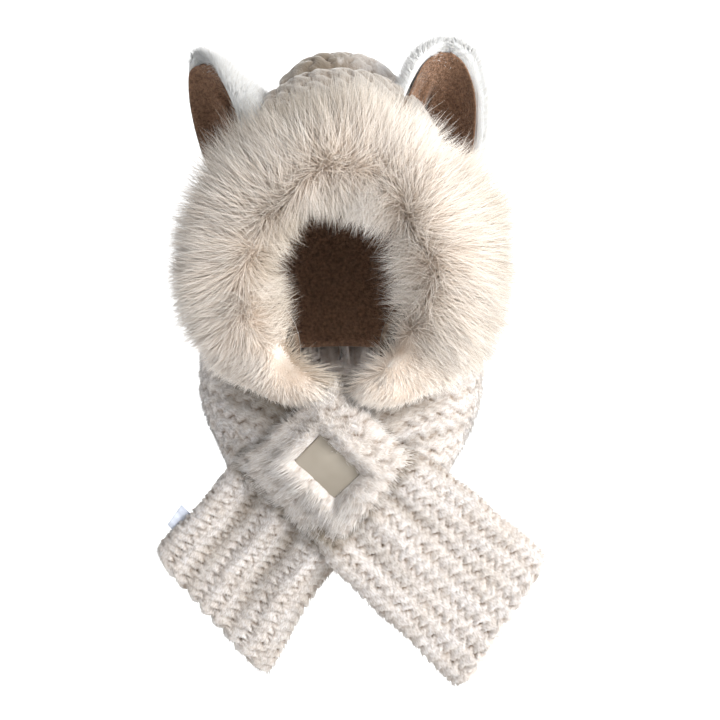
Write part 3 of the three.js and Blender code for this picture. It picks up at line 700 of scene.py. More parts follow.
# %% Relief and shade of the hood
def hood_relief(base, at):
    """The relief on the centre strip and the side panels, and the seams between them."""
    run = np.concatenate([[0], np.cumsum(np.linalg.norm(np.diff(base[:, 0], axis=0), axis=1))])
    reach = np.interp(at, at[:, 0], run)
    around = unit(base[..., :2])
    strip = puffs(base[..., 0] / CELL_WIDE + 0.5, reach * around[..., 1] / CELL_LONG)
    panel = puffs(base[..., 1] / CELL_WIDE, reach * np.abs(around[..., 0]) / CELL_LONG)
    aside = np.abs(base[..., 0])
    on_panel = ease(aside, PANEL_SEAM - 2, PANEL_SEAM + 2)
    seam = 1 - 0.9 * swell(aside, PANEL_SEAM, 3.0)
    return (strip * (1 - on_panel) + panel * on_panel) * seam


def crown_shade(base):
    """Depth of the shade painted on the plush: in the valley behind the crown's ridge and under the edge
    of the fur.
    """
    on_crown = ease(base[..., 2], -70, -25)
    valley = swell(base[..., 1], 6, 26, 4) * on_crown * (1 - 0.85 * ease(base[..., 0], -8, 34))
    return np.maximum(valley, 0.6 * ease(-base[..., 1], 20, 40) * on_crown)


# %% The hood's plush
def on_both_skins(value, pole, lined):
    """The values of the outer skin, of its pole, and one value all over the inner skin."""
    value = value.reshape(-1, np.size(pole))
    inner = np.tile(np.reshape(lined, (1, -1)), (len(value) + 1, 1))
    return np.vstack([value, np.reshape(pole, (1, -1)), inner])


def hood_plush():
    at, turn, faces, on_face = hood_grid(104, 172, 0)
    base = hood_point(at, turn, HOOD_OUTSIDE)
    puff = hood_relief(base, at)
    rise = HOOD_OUTSIDE - 3.2 + PUFF_RISE * puff + 0.8 * wander(base, 30, 5)
    outer = hood_point(at, turn, rise)
    inner = hood_point(at, turn, HOOD_INSIDE + 0.2)
    outer[..., 2] += crown_folds(outer)
    inner[..., 2] += crown_folds(inner)
    comb = unit(outer - inner)
    down = unit(np.stack([outer[..., 0] * 0.002, outer[..., 1] * 0.004, -np.ones(at.shape)], -1))
    outer = trim_to_face(np.vstack([outer.reshape(-1, 3), outer[0].mean(axis=0)]), on_face, 0)
    inner = trim_to_face(np.vstack([inner.reshape(-1, 3), inner[0].mean(axis=0)]), on_face, 0)
    skin = len(faces)
    points, faces = double_wall(outer, inner, faces)
    # Painted shade: the cut edge of the face opening gets the dark colour of a seam, and almost no pile.
    puff.flat[on_face[on_face < at.size]] = 0.1
    x, y, z = outer[: at.size].T
    # Painted shade: behind the crown's ridge the plush is coloured deeper, and grows less pile.
    behind_ridge = swell(y, -16, 13).reshape(at.shape) * ease(base[..., 2], -60, -20)
    puff = puff * (1 - 0.4 * behind_ridge)
    grown = 0.04 + ease(puff, 0.4, 0.85)
    up, none = (0, 0, 1), (0, 0, 0)
    made = make_piece(
        "hood_plush", points, faces, plush,
        puff=on_both_skins(puff, 1, 0.4), grown=on_both_skins(grown, 1, 0),
        reach=on_both_skins(0.55 + 0.45 * puff, 1, 0),
        comb=on_both_skins(comb * 0.6 + down * 0.8, up, up), bow=on_both_skins(down, (0, 1, 0), up),
        combed=on_both_skins(np.stack([x + y, z * 0.3, 0 * z], -1), none, none),
        hollow=on_both_skins(crown_shade(base), 0, 0),
    )
    return made, as_tree(made, skin)


short_pile = dict(
    length=0.0056, thickness=0.0003, disorder=0.14, bow=0.001, clump=0.0018, clump_scale=130.0
)
hood, hood_tree = hood_plush()

# %% [markdown]
# ## The hood's lining
#
# Short brown velvet lines the hood, follows the folds of the crown and stops
# just inside the edges. It is seen through the face opening and in the shade, so
# a smooth thin wall with a brushed finish is enough; strands of its own would be
# lost there.


# %% The lining
def hood_velvet():
    at, turn, faces, on_face = hood_grid(44, 72, 1.5)
    at = np.minimum(at, 0.998)
    loose = 0.8 * wander(hood_point(at, turn, 0), 60, 9)
    outer = hood_point(at, turn, 1.9 + 0 * at)
    inner = hood_point(at, turn, 0.1 + 0.4 * (loose - 1))
    for skin in (outer, inner):
        skin[..., 2] += crown_folds(skin)
    outer = trim_to_face(np.vstack([outer.reshape(-1, 3), outer[0].mean(axis=0)]), on_face, 1.5)
    inner = trim_to_face(np.vstack([inner.reshape(-1, 3), inner[0].mean(axis=0)]), on_face, 1.5)
    points, faces = double_wall(outer, inner, faces)
    return make_piece("hood_velvet", points, faces, velvet)


lining = hood_velvet()

# %% [markdown]
# ## The scarf
#
# Each half is one long padded strip: from the seam at the nape, round the neck,
# across the chest and down to a scalloped end. It is a flat tube along a path,
# and the relief is added square to its surface all the way round, so the edges
# are puffy too. Pleats gather it where the halves cross. One function makes both
# halves from two sets of sizes, so they stay cut from the same cloth.


# %% Sizes and path of the scarf
SCARF_WIDTH = 142.0
SCARF_THICK = 14.0
NECK_HALF_WIDTH = 130.0
NECK_BACK = 98.0
COLLAR_DROP = 318.0
CROSSING_DROP = 366.0
CROSSING_ASIDE = -14.0
CROSSING_FORWARD = 102.0
END_CORNER = 16.0
END_ROUNDED = 12.0
# share, side, depth, low, edge x, y and z, curl
NECK_PATH = [
    (0.0, 0.0, 1.0, 0.0, 0.0, 0.1, 1.0, 0.06),
    (0.11, -0.62, 0.78, 0.0, -0.12, 0.08, 1.0, 0.1),
    (0.21, -0.98, 0.12, 0.03, -0.2, 0.0, 1.0, 0.14),
    (0.3, -0.93, -0.48, 0.1, -0.1, -0.04, 1.0, 0.12),
    (0.39, -0.52, -0.87, 0.34, 0.4, 0.0, 0.9, 0.05),
    (0.5, 0.0, -1.0, 1.0, 0.7, 0.06, 0.7, 0.0),
]
OVER = dict(
    toward=1, across=162.0, drop=531.0, edge_turn=58.0, waist=0.7, flare=1.11, lift=13.4,
    fan=0.2, pleat_start=0.6, pleat_high=3.6, hang=0.15,
)
UNDER = dict(
    toward=-1, across=129.0, drop=523.0, edge_turn=50.0, waist=0.82, flare=1.14, lift=0.0,
    fan=0.42, pleat_start=-0.9, pleat_high=8.0, hang=0.9,
)


# %% The path of one half and the directions along it
def scarf_middle(end, at):
    """The line down the middle of a half, from the nape (0) round the neck (0.5) to its end (1)."""
    neck = np.minimum(at, 0.5)
    depth = curve(NECK_PATH, 2, neck)
    x = curve(NECK_PATH, 1, neck) * NECK_HALF_WIDTH
    y = depth * np.where(depth > 0, NECK_BACK, CROSSING_FORWARD) - end["lift"] * ease(at, 0.22, 0.44)
    z = -COLLAR_DROP - curve(NECK_PATH, 3, neck) * (CROSSING_DROP - COLLAR_DROP)
    t = np.clip((at - 0.5) / 0.5, 0, None)
    aside = CROSSING_ASIDE * end["toward"]
    x = x + (end["across"] - aside - x) * t
    z = z + (-end["drop"] - z) * (0.94 * t + 0.06 * t * t)
    y = y + end["lift"] * ease(t, 0.45, 1) * 0.8
    x = x * end["toward"] + CROSSING_ASIDE * ease(at, 0.28, 0.5)
    return np.stack([x, y, z], -1)


def scarf_frame(end, at):
    """Middle of the strip and the directions along it, to its upper edge and out of its face."""
    ahead, behind = np.minimum(at + 0.004, 1), np.maximum(at - 0.004, 0)
    along = unit(scarf_middle(end, ahead) - scarf_middle(end, behind))
    edge = np.stack([curve(NECK_PATH, c, np.minimum(at, 0.5)) for c in (4, 5, 6)], -1)
    turn = math.radians(end["edge_turn"])
    t = ease(at, 0.5, 1)[..., None]
    edge = edge * (1 - t) + np.array([math.cos(turn), 0, math.sin(turn)]) * t
    edge[..., 0] *= end["toward"]
    edge = unit(edge)
    return scarf_middle(end, at), along, edge, unit(np.cross(along, edge)) * end["toward"]


def path_length(end):
    stops = scarf_middle(end, np.linspace(0, 1, 401))
    return np.linalg.norm(np.diff(stops, axis=0), axis=1).sum()


def flat_section(sides, half, thick, round_off=0.55):
    """Evenly spaced points and their outward directions round a flat rounded section."""
    angle = np.linspace(0, 2 * math.pi, 2001)
    line = np.stack([signed_power(np.cos(angle), round_off), signed_power(np.sin(angle), 0.75)], -1)
    real = line * (half, thick)
    run = np.concatenate([[0], np.cumsum(np.linalg.norm(np.diff(real, axis=0), axis=1))])
    want = np.arange(sides) / sides * run[-1]
    place = np.stack([np.interp(want, run, line[:, c]) for c in (0, 1)], -1)
    step = np.roll(place, -1, 0) * (half, thick) - np.roll(place, 1, 0) * (half, thick)
    outward = unit(np.stack([step[:, 1], -step[:, 0]], -1))
    return place, outward, want, run[-1]


def square_to(outward, edge, out):
    """The outward direction of each point of a section, as it is turned along a path."""
    return outward[None, :, 0, None] * edge[:, None, :] + outward[None, :, 1, None] * out[:, None, :]


# %% One half of the scarf
def scarf_strip(name, end, clear_of):
    rings, sides, columns = 290, 120, 16
    length = path_length(end)
    place, outward, want, round_about = flat_section(sides, SCARF_WIDTH / 2, SCARF_THICK / 2)
    at = np.linspace(0.15 / length, 1, rings)
    middle, along, edge, out = scarf_frame(end, at)
    waist = 1 + (end["waist"] - 1) * swell(at, 0.5, 0.1)
    flare = 1 + (end["flare"] - 1) * ease(at, 0.7, 1)
    left = np.minimum((1 - at) * length, END_CORNER)
    corner = END_CORNER - np.sqrt(END_CORNER**2 - (END_CORNER - left) ** 2)
    half = SCARF_WIDTH * waist * flare / 2 - corner - 1.8 + 1.6 * wander(middle, 34, 22)
    rest = np.clip((1 - at) * length / END_ROUNDED, 0, 1)
    thick = (SCARF_THICK / 2 - 2.2) * np.sqrt(np.clip(1 - (1 - rest) ** 2, 0.02, 1))
    cell = want / round_about * columns
    across, deep = place[:, 0][None, :], place[:, 1][None, :]
    lying = middle[:, None, :] + edge[:, None, :] * (across * half[:, None])[..., None]
    pulled = 0.16 * wander(lying + 40 * deep[..., None], 38, 24)
    puff = puffs(cell[None, :] + pulled, at[:, None] * length / CELL_LONG + 1.6 * pulled)
    gathered = swell(at, 0.5, np.where(at < 0.5, 0.13, end["fan"]))[:, None]
    ridges = np.cos(across * 8.5 + end["pleat_start"])
    pleat = gathered * (end["pleat_high"] * ridges - 3.2 * swell(across, 0.3, 0.07))
    curl = np.where(at < 0.5, curve(NECK_PATH, 7, at), 0)[:, None] * SCARF_WIDTH
    lift = pleat * (1 if end["lift"] > 0 else 0.8) - curl * across**2
    lift = lift + 3.2 * wander(lying, 52, 23) * ease(at, 0.5, 0.62)[:, None]
    points = lying + out[:, None, :] * (deep * thick[:, None] + lift)[..., None]
    rise = (PUFF_RISE - 0.6) * puff * (1 - 0.35 * gathered) - 0.4 + 0.6 * wander(points, 26, 21)
    rise = rise * (0.35 + 0.65 * ease(rest, 0, 0.6))[:, None]
    square = square_to(outward, edge, out)
    points = points + square * rise[..., None]
    scallop = 5.0 * (np.abs(np.sin(math.pi * cell)) - 0.7) * np.abs(place[:, 1]) ** 0.3
    points = points + along[:, None, :] * (scallop[None, :] * ease(at, 0.955, 1)[:, None])[..., None]
    down = unit(along[:, None, :] * np.ones((1, sides, 1)) + np.array([0, 0, -end["hang"]]))
    comb = square * 0.6 + down * 0.8
    flat = keep_clear(points.reshape(-1, 3), clear_of, 0.4)
    grown = (0.04 + ease(puff, 0.4, 0.85)) * (0.3 + 0.7 * ease(deep + 0 * at[:, None], -0.9, 0.1))
    combed = [want[None, :] + 0 * puff, 0.3 * length * at[:, None] + 0 * puff, 0 * puff]
    return make_piece(
        name, flat, tube_faces(rings, sides), plush,
        puff=puff, grown=grown, reach=(0.55 + 0.45 * puff) * (0.4 + 0.6 * ease(rest, 0, 1))[:, None],
        comb=comb, bow=down, combed=np.stack(combed, -1),
        # Painted shade: the colour deepens in the valleys of the pleats where the halves cross.
        hollow=0.75 * gathered * ease(-ridges, 0.1, 1) * (deep > 0),
    )


under = scarf_strip("scarf_under_plush", UNDER, [hood_tree])
under_tree = as_tree(under)
over = scarf_strip("scarf_over_plush", OVER, [hood_tree, under_tree])
for end in (UNDER, OVER):
    print("scarf half", round(path_length(end)), "mm long")

# %% [markdown]
# ## The keeper loop
#
# A panel of the same plush is sewn to the under half along its upper and its
# lower end, and the over half passes through. It bulges over what it holds, its
# pile is longer round the patch, and the relief dies out where the patch lies.


# %% Sizes and path of the loop
LOOP_WIDTH = 112.0
LOOP_THICK = 11.0
LOOP_RUN = 125.0
LOOP_SLANT = math.sqrt(0.5)
# share, place along the slant, height over the scarf in its thicknesses, width
LOOP_PATH = [
    (0.0, -58.0, 0.5, 0.93),
    (0.16, -48.0, 1.35, 0.95),
    (0.45, -6.0, 1.92, 1.0),
    (0.8, 41.0, 1.5, 1.04),
    (1.0, 56.0, 0.5, 1.08),
]
PATCH_AT = 0.47
PATCH_HALF_LONG = 27.0
PATCH_HALF_WIDE = 16.5


def loop_place(at):
    crossing = scarf_middle(UNDER, np.array(0.5))
    along = curve(LOOP_PATH, 1, at)
    return np.stack([
        crossing[0] - along * LOOP_SLANT,
        -CROSSING_FORWARD - curve(LOOP_PATH, 2, at) * SCARF_THICK,
        crossing[2] - along * LOOP_SLANT,
    ], -1)


def loop_frame(at):
    along = unit(loop_place(np.minimum(at + 0.01, 1)) - loop_place(np.maximum(at - 0.01, 0)))
    edge = np.array([-LOOP_SLANT, 0, LOOP_SLANT]) + 0 * along
    edge = unit(edge - along * (edge * along).sum(-1, keepdims=True))
    out = unit(np.cross(along, edge))
    out = out * np.where(out[..., 1:2] > 0, -1, 1)
    return loop_place(at), along, edge, out


# %% The loop
def keeper_loop():
    rings, sides, columns = 84, 116, 12
    at = np.linspace(0, 1, rings)
    place, outward, want, round_about = flat_section(sides, LOOP_WIDTH / 2, LOOP_THICK / 2, 0.6)
    middle, along, edge, out = loop_frame(at)
    half = LOOP_WIDTH / 2 * curve(LOOP_PATH, 3, at) - 1.5
    rest = np.clip(np.minimum(at, 1 - at) * LOOP_RUN / 9, 0, 1)
    thick = (LOOP_THICK / 2 - 1.6) * np.sqrt(np.clip(1 - (1 - rest) ** 2, 0.05, 1))
    across, deep = place[:, 0][None, :], place[:, 1][None, :]
    travel = curve(LOOP_PATH, 1, at) - curve(LOOP_PATH, 1, np.array(PATCH_AT))
    cell = want / round_about * columns
    puff = puffs(cell[None, :] + 0 * at[:, None], travel[:, None] / CELL_LONG + 0 * cell[None, :] + 0.25)
    beside = np.abs(across * half[:, None]) - PATCH_HALF_LONG
    beyond = np.abs(travel)[:, None] - PATCH_HALF_WIDE
    from_patch = np.maximum(beside, beyond)
    off_patch = np.where(deep > 0, ease(from_patch, -2.5, 2.0), 1.0)
    rim = swell(from_patch, 9, 6.8) * (deep > 0)
    points = middle[:, None, :] + edge[:, None, :] * (across * half[:, None])[..., None]
    points = points + out[:, None, :] * (deep * thick[:, None])[..., None]
    rise = (4.4 * puff + 7.5 * rim) * off_patch + 1.4 * off_patch * wander(points, 15, 33)
    square = square_to(outward, edge, out)
    points = points + square * rise[..., None]
    flat = keep_clear(points.reshape(-1, 3), [as_tree(over), under_tree], 0.3)
    down = along[:, None, :] * np.ones((1, sides, 1))
    away = np.sign(travel)[:, None, None] * down * 0.5
    away = away + np.sign(across)[..., None] * edge[:, None, :] * 0.3
    puff = np.maximum(puff, rim)
    combed = [want[None, :] + 0 * puff, 0.3 * travel[:, None] + 0 * puff, 0 * puff + 3]
    return make_piece(
        "keeper_loop_plush", flat, tube_faces(rings, sides), plush,
        combed=np.stack(combed, -1), puff=puff,
        grown=off_patch * (0.1 + ease(puff, 0.35, 0.8)) * (deep > -0.6),
        reach=0.8 + 0.6 * rim, comb=square * 0.6 + away + down * 0.35, bow=down,
    )


loop = keeper_loop()

# %% [markdown]
# ## The bare patch and the label
#
# The patch is a rectangle of matt leather that follows the loop and is half
# buried in its pile. The label is a satin ribbon folded in two and caught in
# the side seam. Both are left blank. Thin closed grids with a slight wave look
# cut and sewn rather than stamped.


# %% The patch
def leather_patch():
    rings, sides = 22, 60
    place, _, _, _ = flat_section(sides, PATCH_HALF_LONG, 0.8, 0.25)
    reach = np.linspace(-1, 1, rings)
    turned = np.sqrt(np.clip(1 - np.abs(reach) ** 14, 0.0, 1)) * 0.06 + 0.94
    at = PATCH_AT + reach * PATCH_HALF_WIDE / LOOP_RUN
    middle, _, edge, out = loop_frame(at)
    across = place[:, 0][None, :] * PATCH_HALF_LONG * turned[:, None]
    points = middle[:, None, :] + edge[:, None, :] * across[..., None]
    wave = 0.35 * wander(points, 22, 41)
    height = LOOP_THICK / 2 + 0.5 + 0.8 * (1 + place[:, 1][None, :] * turned[:, None]) + wave
    points = points + out[:, None, :] * height[..., None]
    return make_piece("leather_patch", points.reshape(-1, 3), tube_faces(rings, sides), leather)


patch = leather_patch()


# %% The label
LABEL_AT = 0.89
LABEL_HALF_WIDE = 6.5
LABEL_HALF_LONG = 12.5
LABEL_HALF_THICK = 0.55


def satin_label():
    rings, sides = 24, 40
    middle, along, edge, out = (value[0] for value in scarf_frame(UNDER, np.array([LABEL_AT])))
    seam = SCARF_WIDTH / 2 * (1 + (UNDER["flare"] - 1) * ease(np.array(LABEL_AT), 0.7, 1)) - 2
    place, _, _, _ = flat_section(sides, LABEL_HALF_WIDE, LABEL_HALF_THICK, 0.3)
    points = []
    for shift in np.linspace(-LABEL_HALF_LONG, LABEL_HALF_LONG, rings):
        bent = 0.9 * math.sin(shift * 0.31) + 0.4 * math.sin(shift * 0.83 + 1)
        wide = 1.0 if abs(shift) < LABEL_HALF_LONG - 0.5 else 0.96
        for across, deep in place:
            reach = seam + LABEL_HALF_WIDE * (1 + across * wide)
            lift = deep * LABEL_HALF_THICK + (bent + 1.5) * (across + 1) / 2
            points.append(middle + along * shift + edge * reach + out * lift)
    return make_piece("satin_label", np.array(points), tube_faces(rings, sides), satin)


label = satin_label()

# %% [markdown]
# ## The ears
#
# An ear is a pointed leaf cupped along its height: white plush outside and
# round the rim, brown velvet in the hollow with two soft folds. It is a flat
# tube once more, bent round a half circle that narrows toward the tip. The
# pile stands out from the rim, which hides where plush and velvet meet.


# %% Sizes and outline of the ears
EAR_HEIGHT = 143.0
EAR_HALF_WIDTH = 41.0
EAR_WRAP = math.radians(81)
EAR_WALL = 9.0
EAR_ROOT_TUCK = 44.0
EAR_TUCK_SHARE = 0.28
EAR_ROOT_DROP = 113.0
# share of the way to the tip, half width, depth of the cup in half widths
EAR_OUTLINE = [
    (0.0, 0.86, 1.6),
    (0.17, 1.0, 1.8),
    (0.38, 1.02, 1.75),
    (0.54, 0.98, 1.65),
    (0.67, 0.89, 1.42),
    (0.8, 0.73, 1.1),
    (0.9, 0.57, 0.85),
    (0.97, 0.33, 0.7),
    (1.0, 0.12, 0.6),
]
EARS = [
    dict(
        name="left", toward=-1, across=110.0, forward=30.0, splay=30.0, yaw=59.0, back=3.0,
        tall=0.94, wide=1.14, thin_rim=0.85, far_side=-1, velvet_wide=0.985,
    ),
    dict(
        name="right", toward=1, across=91.0, forward=42.0, splay=14.0, yaw=16.0, back=3.0,
        tall=1.02, wide=1.0, thin_rim=0.0, far_side=0, velvet_wide=0.95,
    ),
]


# %% Any point of an ear
def ear_point(ear, across, up, layer):
    """across from -1 to 1, up from the root to the tip, layer outward from the hollow."""
    half = curve(EAR_OUTLINE, 1, up) * EAR_HALF_WIDTH * ear["wide"]
    deep = half * curve(EAR_OUTLINE, 2, up)
    angle = across * EAR_WRAP
    x = np.sin(angle) * (half + layer)
    y = np.cos(angle) * (deep + layer)
    z = up * (EAR_HEIGHT * ear["tall"] + layer * 0.6)
    share = z / (EAR_HEIGHT * ear["tall"])
    yaw, back = math.radians(ear["toward"] * ear["yaw"]), math.radians(-ear["back"])
    x, y = x * math.cos(yaw) - y * math.sin(yaw), x * math.sin(yaw) + y * math.cos(yaw)
    y, z = y * math.cos(back) - z * math.sin(back), y * math.sin(back) + z * math.cos(back)
    tuck = EAR_ROOT_TUCK * np.maximum(1 - share / EAR_TUCK_SHARE, 0) ** 2
    x = x + ear["toward"] * (ear["across"] + ear["splay"] * share * (2 - share) - tuck)
    return np.stack([x, y - ear["forward"], z - EAR_ROOT_DROP], -1)


# %% Plush of the ears
def ear_shell(ear):
    rings, sides = 58, 84
    up = np.linspace(0, 1, rings)[:, None] ** 0.92
    place, _, _, _ = flat_section(sides, 60, EAR_WALL / 2, 0.5)
    across, deep = place[:, 0][None, :] + 0 * up, place[:, 1][None, :] + 0 * up
    thin = np.sqrt(np.clip(1 - ((up - 0.8) / 0.21).clip(0, 1) ** 2, 0.08, 1))
    far = ease(across * ear["far_side"], 0.45, 0.9)
    thin = thin * (1 - ear["thin_rim"] * far)
    layer = EAR_WALL / 2 * thin + deep * (EAR_WALL / 2) * thin
    points = ear_point(ear, across, up, layer)
    outward = unit(points - points.mean(axis=1, keepdims=True))
    points = points + 0.7 * wander(points, 16, 51)[..., None] * outward
    hollow, back = ear_point(ear, across, up, 0 * up), ear_point(ear, across, up, EAR_WALL + 0 * up)
    wall = unit(back - hollow)
    rim = unit(ear_point(ear, across, up, layer) - ear_point(ear, across * 0.96, up, layer))
    edge_on = np.abs(across) ** 6
    tipward = unit(ear_point(ear, across, up + 0.02, layer) - ear_point(ear, across, up - 0.02, layer))
    near_tip = ease(up, 0.86, 1.0)
    standing = deep * 0.9 * (1 - edge_on) + 0.85 * edge_on
    comb = wall * standing[..., None] + rim * edge_on[..., None] * 0.45
    comb = comb + tipward * (0.25 + near_tip)[..., None]
    inside_rim = np.maximum(near_tip, ease(np.abs(across), 0.9, 0.98))
    grown = np.where(deep > -0.3, 0.6 + 1.4 * edge_on + near_tip, 0.8 * inside_rim)
    far = far * (1 - near_tip)
    grown = grown * ease(up, 0.06, 0.2) * (1 - 0.97 * far)
    reach = (0.8 + 0.3 * edge_on - 0.05 * near_tip) * (1 - 0.75 * far)
    made = make_piece(
        f"ear_{ear['name']}_plush", points.reshape(-1, 3), tube_faces(rings, sides), ear_plush,
        grown=grown, reach=reach, comb=unit(comb), bow=tipward,
    )
    light_as_cloth(made.data, 0.0, 1.0)
    return made


# %% Velvet of the ears
def ear_velvet(ear):
    rings, sides = 56, 116
    up = np.linspace(0.14, 0.95, rings)[:, None]
    limit = ear["velvet_wide"] * np.sqrt(np.clip(1 - ((up - 0.3).clip(0, 1) / 0.66) ** 7, 0.02, 1))
    far_limit = 1.03 * np.sqrt(np.clip(1 - ((up - 0.3).clip(0, 1) / 0.655) ** 30, 0.02, 1))
    place, _, _, _ = flat_section(sides, 50, 1.5, 0.4)
    across = place[:, 0][None, :]
    across = across * np.where(across * ear["far_side"] > 0, far_limit, limit)
    deep = place[:, 1][None, :] + 0 * up
    folded = 1 - ease(up, 0.6, 0.8)
    leaning = across - 0.35 * (up - 0.5)
    fold = 8.0 * folded * sum(swell(leaning, ridge, 0.1) for ridge in (-0.62, -0.26))
    # Painted shade: darker along the two creases between the folds and toward the root of the hollow.
    crease = folded * sum(swell(leaning, valley, 0.065) for valley in (-0.45, -0.07)) + 0.25 * (1 - up)
    layer = -0.45 - 1.5 * (1 - deep) - np.where(deep < 0, fold * ease(-deep, 0, 0.5), 0)
    points = ear_point(ear, across, up, layer)
    facing = unit(ear_point(ear, across, up, layer - 3) - points)
    tipward = unit(ear_point(ear, across, up + 0.02, layer) - points)
    grown = ease(-deep, -0.2, 0.2) * (1 - 0.85 * crease.clip(0, 1))
    return make_piece(
        f"ear_{ear['name']}_velvet", points.reshape(-1, 3), tube_faces(rings, sides), velvet,
        grown=grown, reach=1 + 0 * grown, comb=facing * 0.7 + tipward * 0.8, bow=tipward, crease=crease,
    )


# %% Both ears with their pile
EAR_PILE = dict(
    length=0.0105, thickness=0.00038, own_share=0.25, lit_through=2.2,
    disorder=0.3, bow=0.001, clump=0.003, clump_scale=150.0,
)
EAR_FUZZ = dict(
    length=0.003, thickness=0.00045, disorder=0.6, bow=0.0005, clump=0.003, clump_scale=330.0
)
ear_pieces = {}
for ear in EARS:
    shell, inside = ear_shell(ear), ear_velvet(ear)
    pile = grow(f"ear_{ear['name']}_pile", shell, 10000, ear_pile, 12, **EAR_PILE)
    fuzz = grow(f"ear_{ear['name']}_velvet_pile", inside, 2600, velvet_pile, 14, **EAR_FUZZ)
    ear_pieces[ear["name"]] = (shell, inside, pile, fuzz)

# %% [markdown]
# ## The fur
#
# A fur strip is folded round the face opening. A thick undercoat fills it, and
# long hairs part in the middle of the strip: the outer ones sweep back over the
# hood and the ears, the inner ones over the opening. The undercoat is a ring
# with a relief of locks, and the hairs are grown on it in five pieces, so none
# has too many triangles: three of long hairs that bend and two of finer ones
# that fill the gaps.


# %% Sizes of the fur
TRIM_CENTRE_DROP = 176.0
TRIM_RADIUS = 104.0
TRIM_PILE = 56.0
TRIM_DEPTH = 44.0
TRIM_FORWARD = 104.0
# share of half a turn from the top, radius, pile, depth in front
TRIM_STATIONS = [
    (0.0, 0.97, 1.02, 1.0),
    (0.25, 1.0, 1.02, 1.0),
    (0.5, 1.05, 1.0, 0.96),
    (0.72, 1.12, 0.92, 1.0),
    (0.86, 1.15, 0.56, 1.12),
    (0.95, 1.13, 0.3, 1.2),
]
UNDERCOAT = 0.64
PARTING = math.radians(118)
# place and breadth, in shares of half a turn, of the fur before the right ear
BEFORE_EAR = (0.185, 0.075)


def trim_point(share, angle, scale):
    """share is the signed part of half a turn from the top; angle 0 is the outer side, 90 the front."""
    at = np.abs(share)
    turn = share * math.pi
    outward = np.stack([np.sin(turn), 0 * turn, np.cos(turn)], -1)
    pile = curve(TRIM_STATIONS, 2, at)
    reach = curve(TRIM_STATIONS, 1, at) * TRIM_RADIUS + np.cos(angle) * TRIM_PILE * pile * scale
    depth = curve(TRIM_STATIONS, 3, at) * TRIM_FORWARD
    depth = depth + np.sin(angle) * TRIM_DEPTH * np.minimum(1, pile * 1.15) * scale
    points = outward * reach[..., None]
    points[..., 1] -= depth
    points[..., 2] -= TRIM_CENTRE_DROP
    return points


# %% Length and shade of the hairs
def hair_reach(share, sweep, locks):
    """Length as a share of the full hair: longest over the crown, short outside beside the knot."""
    low, top = ease(np.abs(share), 0.55, 0.85), swell(share, 0, 0.3)
    outer, inner = ease(sweep, 0.0, 0.5), ease(-sweep, 0.0, 0.5)
    reach = (1 + 0.55 * top * outer) * (1 - 0.2 * inner) * (1 - 0.55 * low * outer) * (1 - 0.2 * low)
    reach = reach * (1 + 0.4 * inner * ease(share, 0.1, 0.4) * (1 - low)) * (0.88 + 0.24 * locks)
    reach = reach * (1 + 0.42 * outer * ease(share, 0.24, 0.4) * (1 - ease(share, 0.66, 0.84)))
    reach = reach * (1 - 0.12 * outer * swell(share, *BEFORE_EAR))
    reach = reach * (1 - 0.2 * inner * ease(-share, 0.1, 0.3) * (1 - low))
    return reach * (1 + 0.45 * inner * low) * (1 + 0.3 * ease(np.abs(share), 0.86, 0.94))


def hair_shade(share, bent):
    """Depth of the shade painted on the hairs: inside at the left, on the outer side by the crown and at
    the far right.
    """
    inside_left = 0.7 * ease(bent, 1.9, 2.9) * ease(0.15 - share, 0, 0.3)
    by_crown = 0.8 * swell(share, -0.09, 0.2) * ease(1.5 - bent, 0, 1)
    far_right = ease(share, 0.22, 0.34) * (1 - ease(share, 0.66, 0.78))
    far_right = 0.7 * far_right * ease(1.5 - bent, 0, 0.8)
    return np.maximum(np.maximum(inside_left, by_crown), far_right)


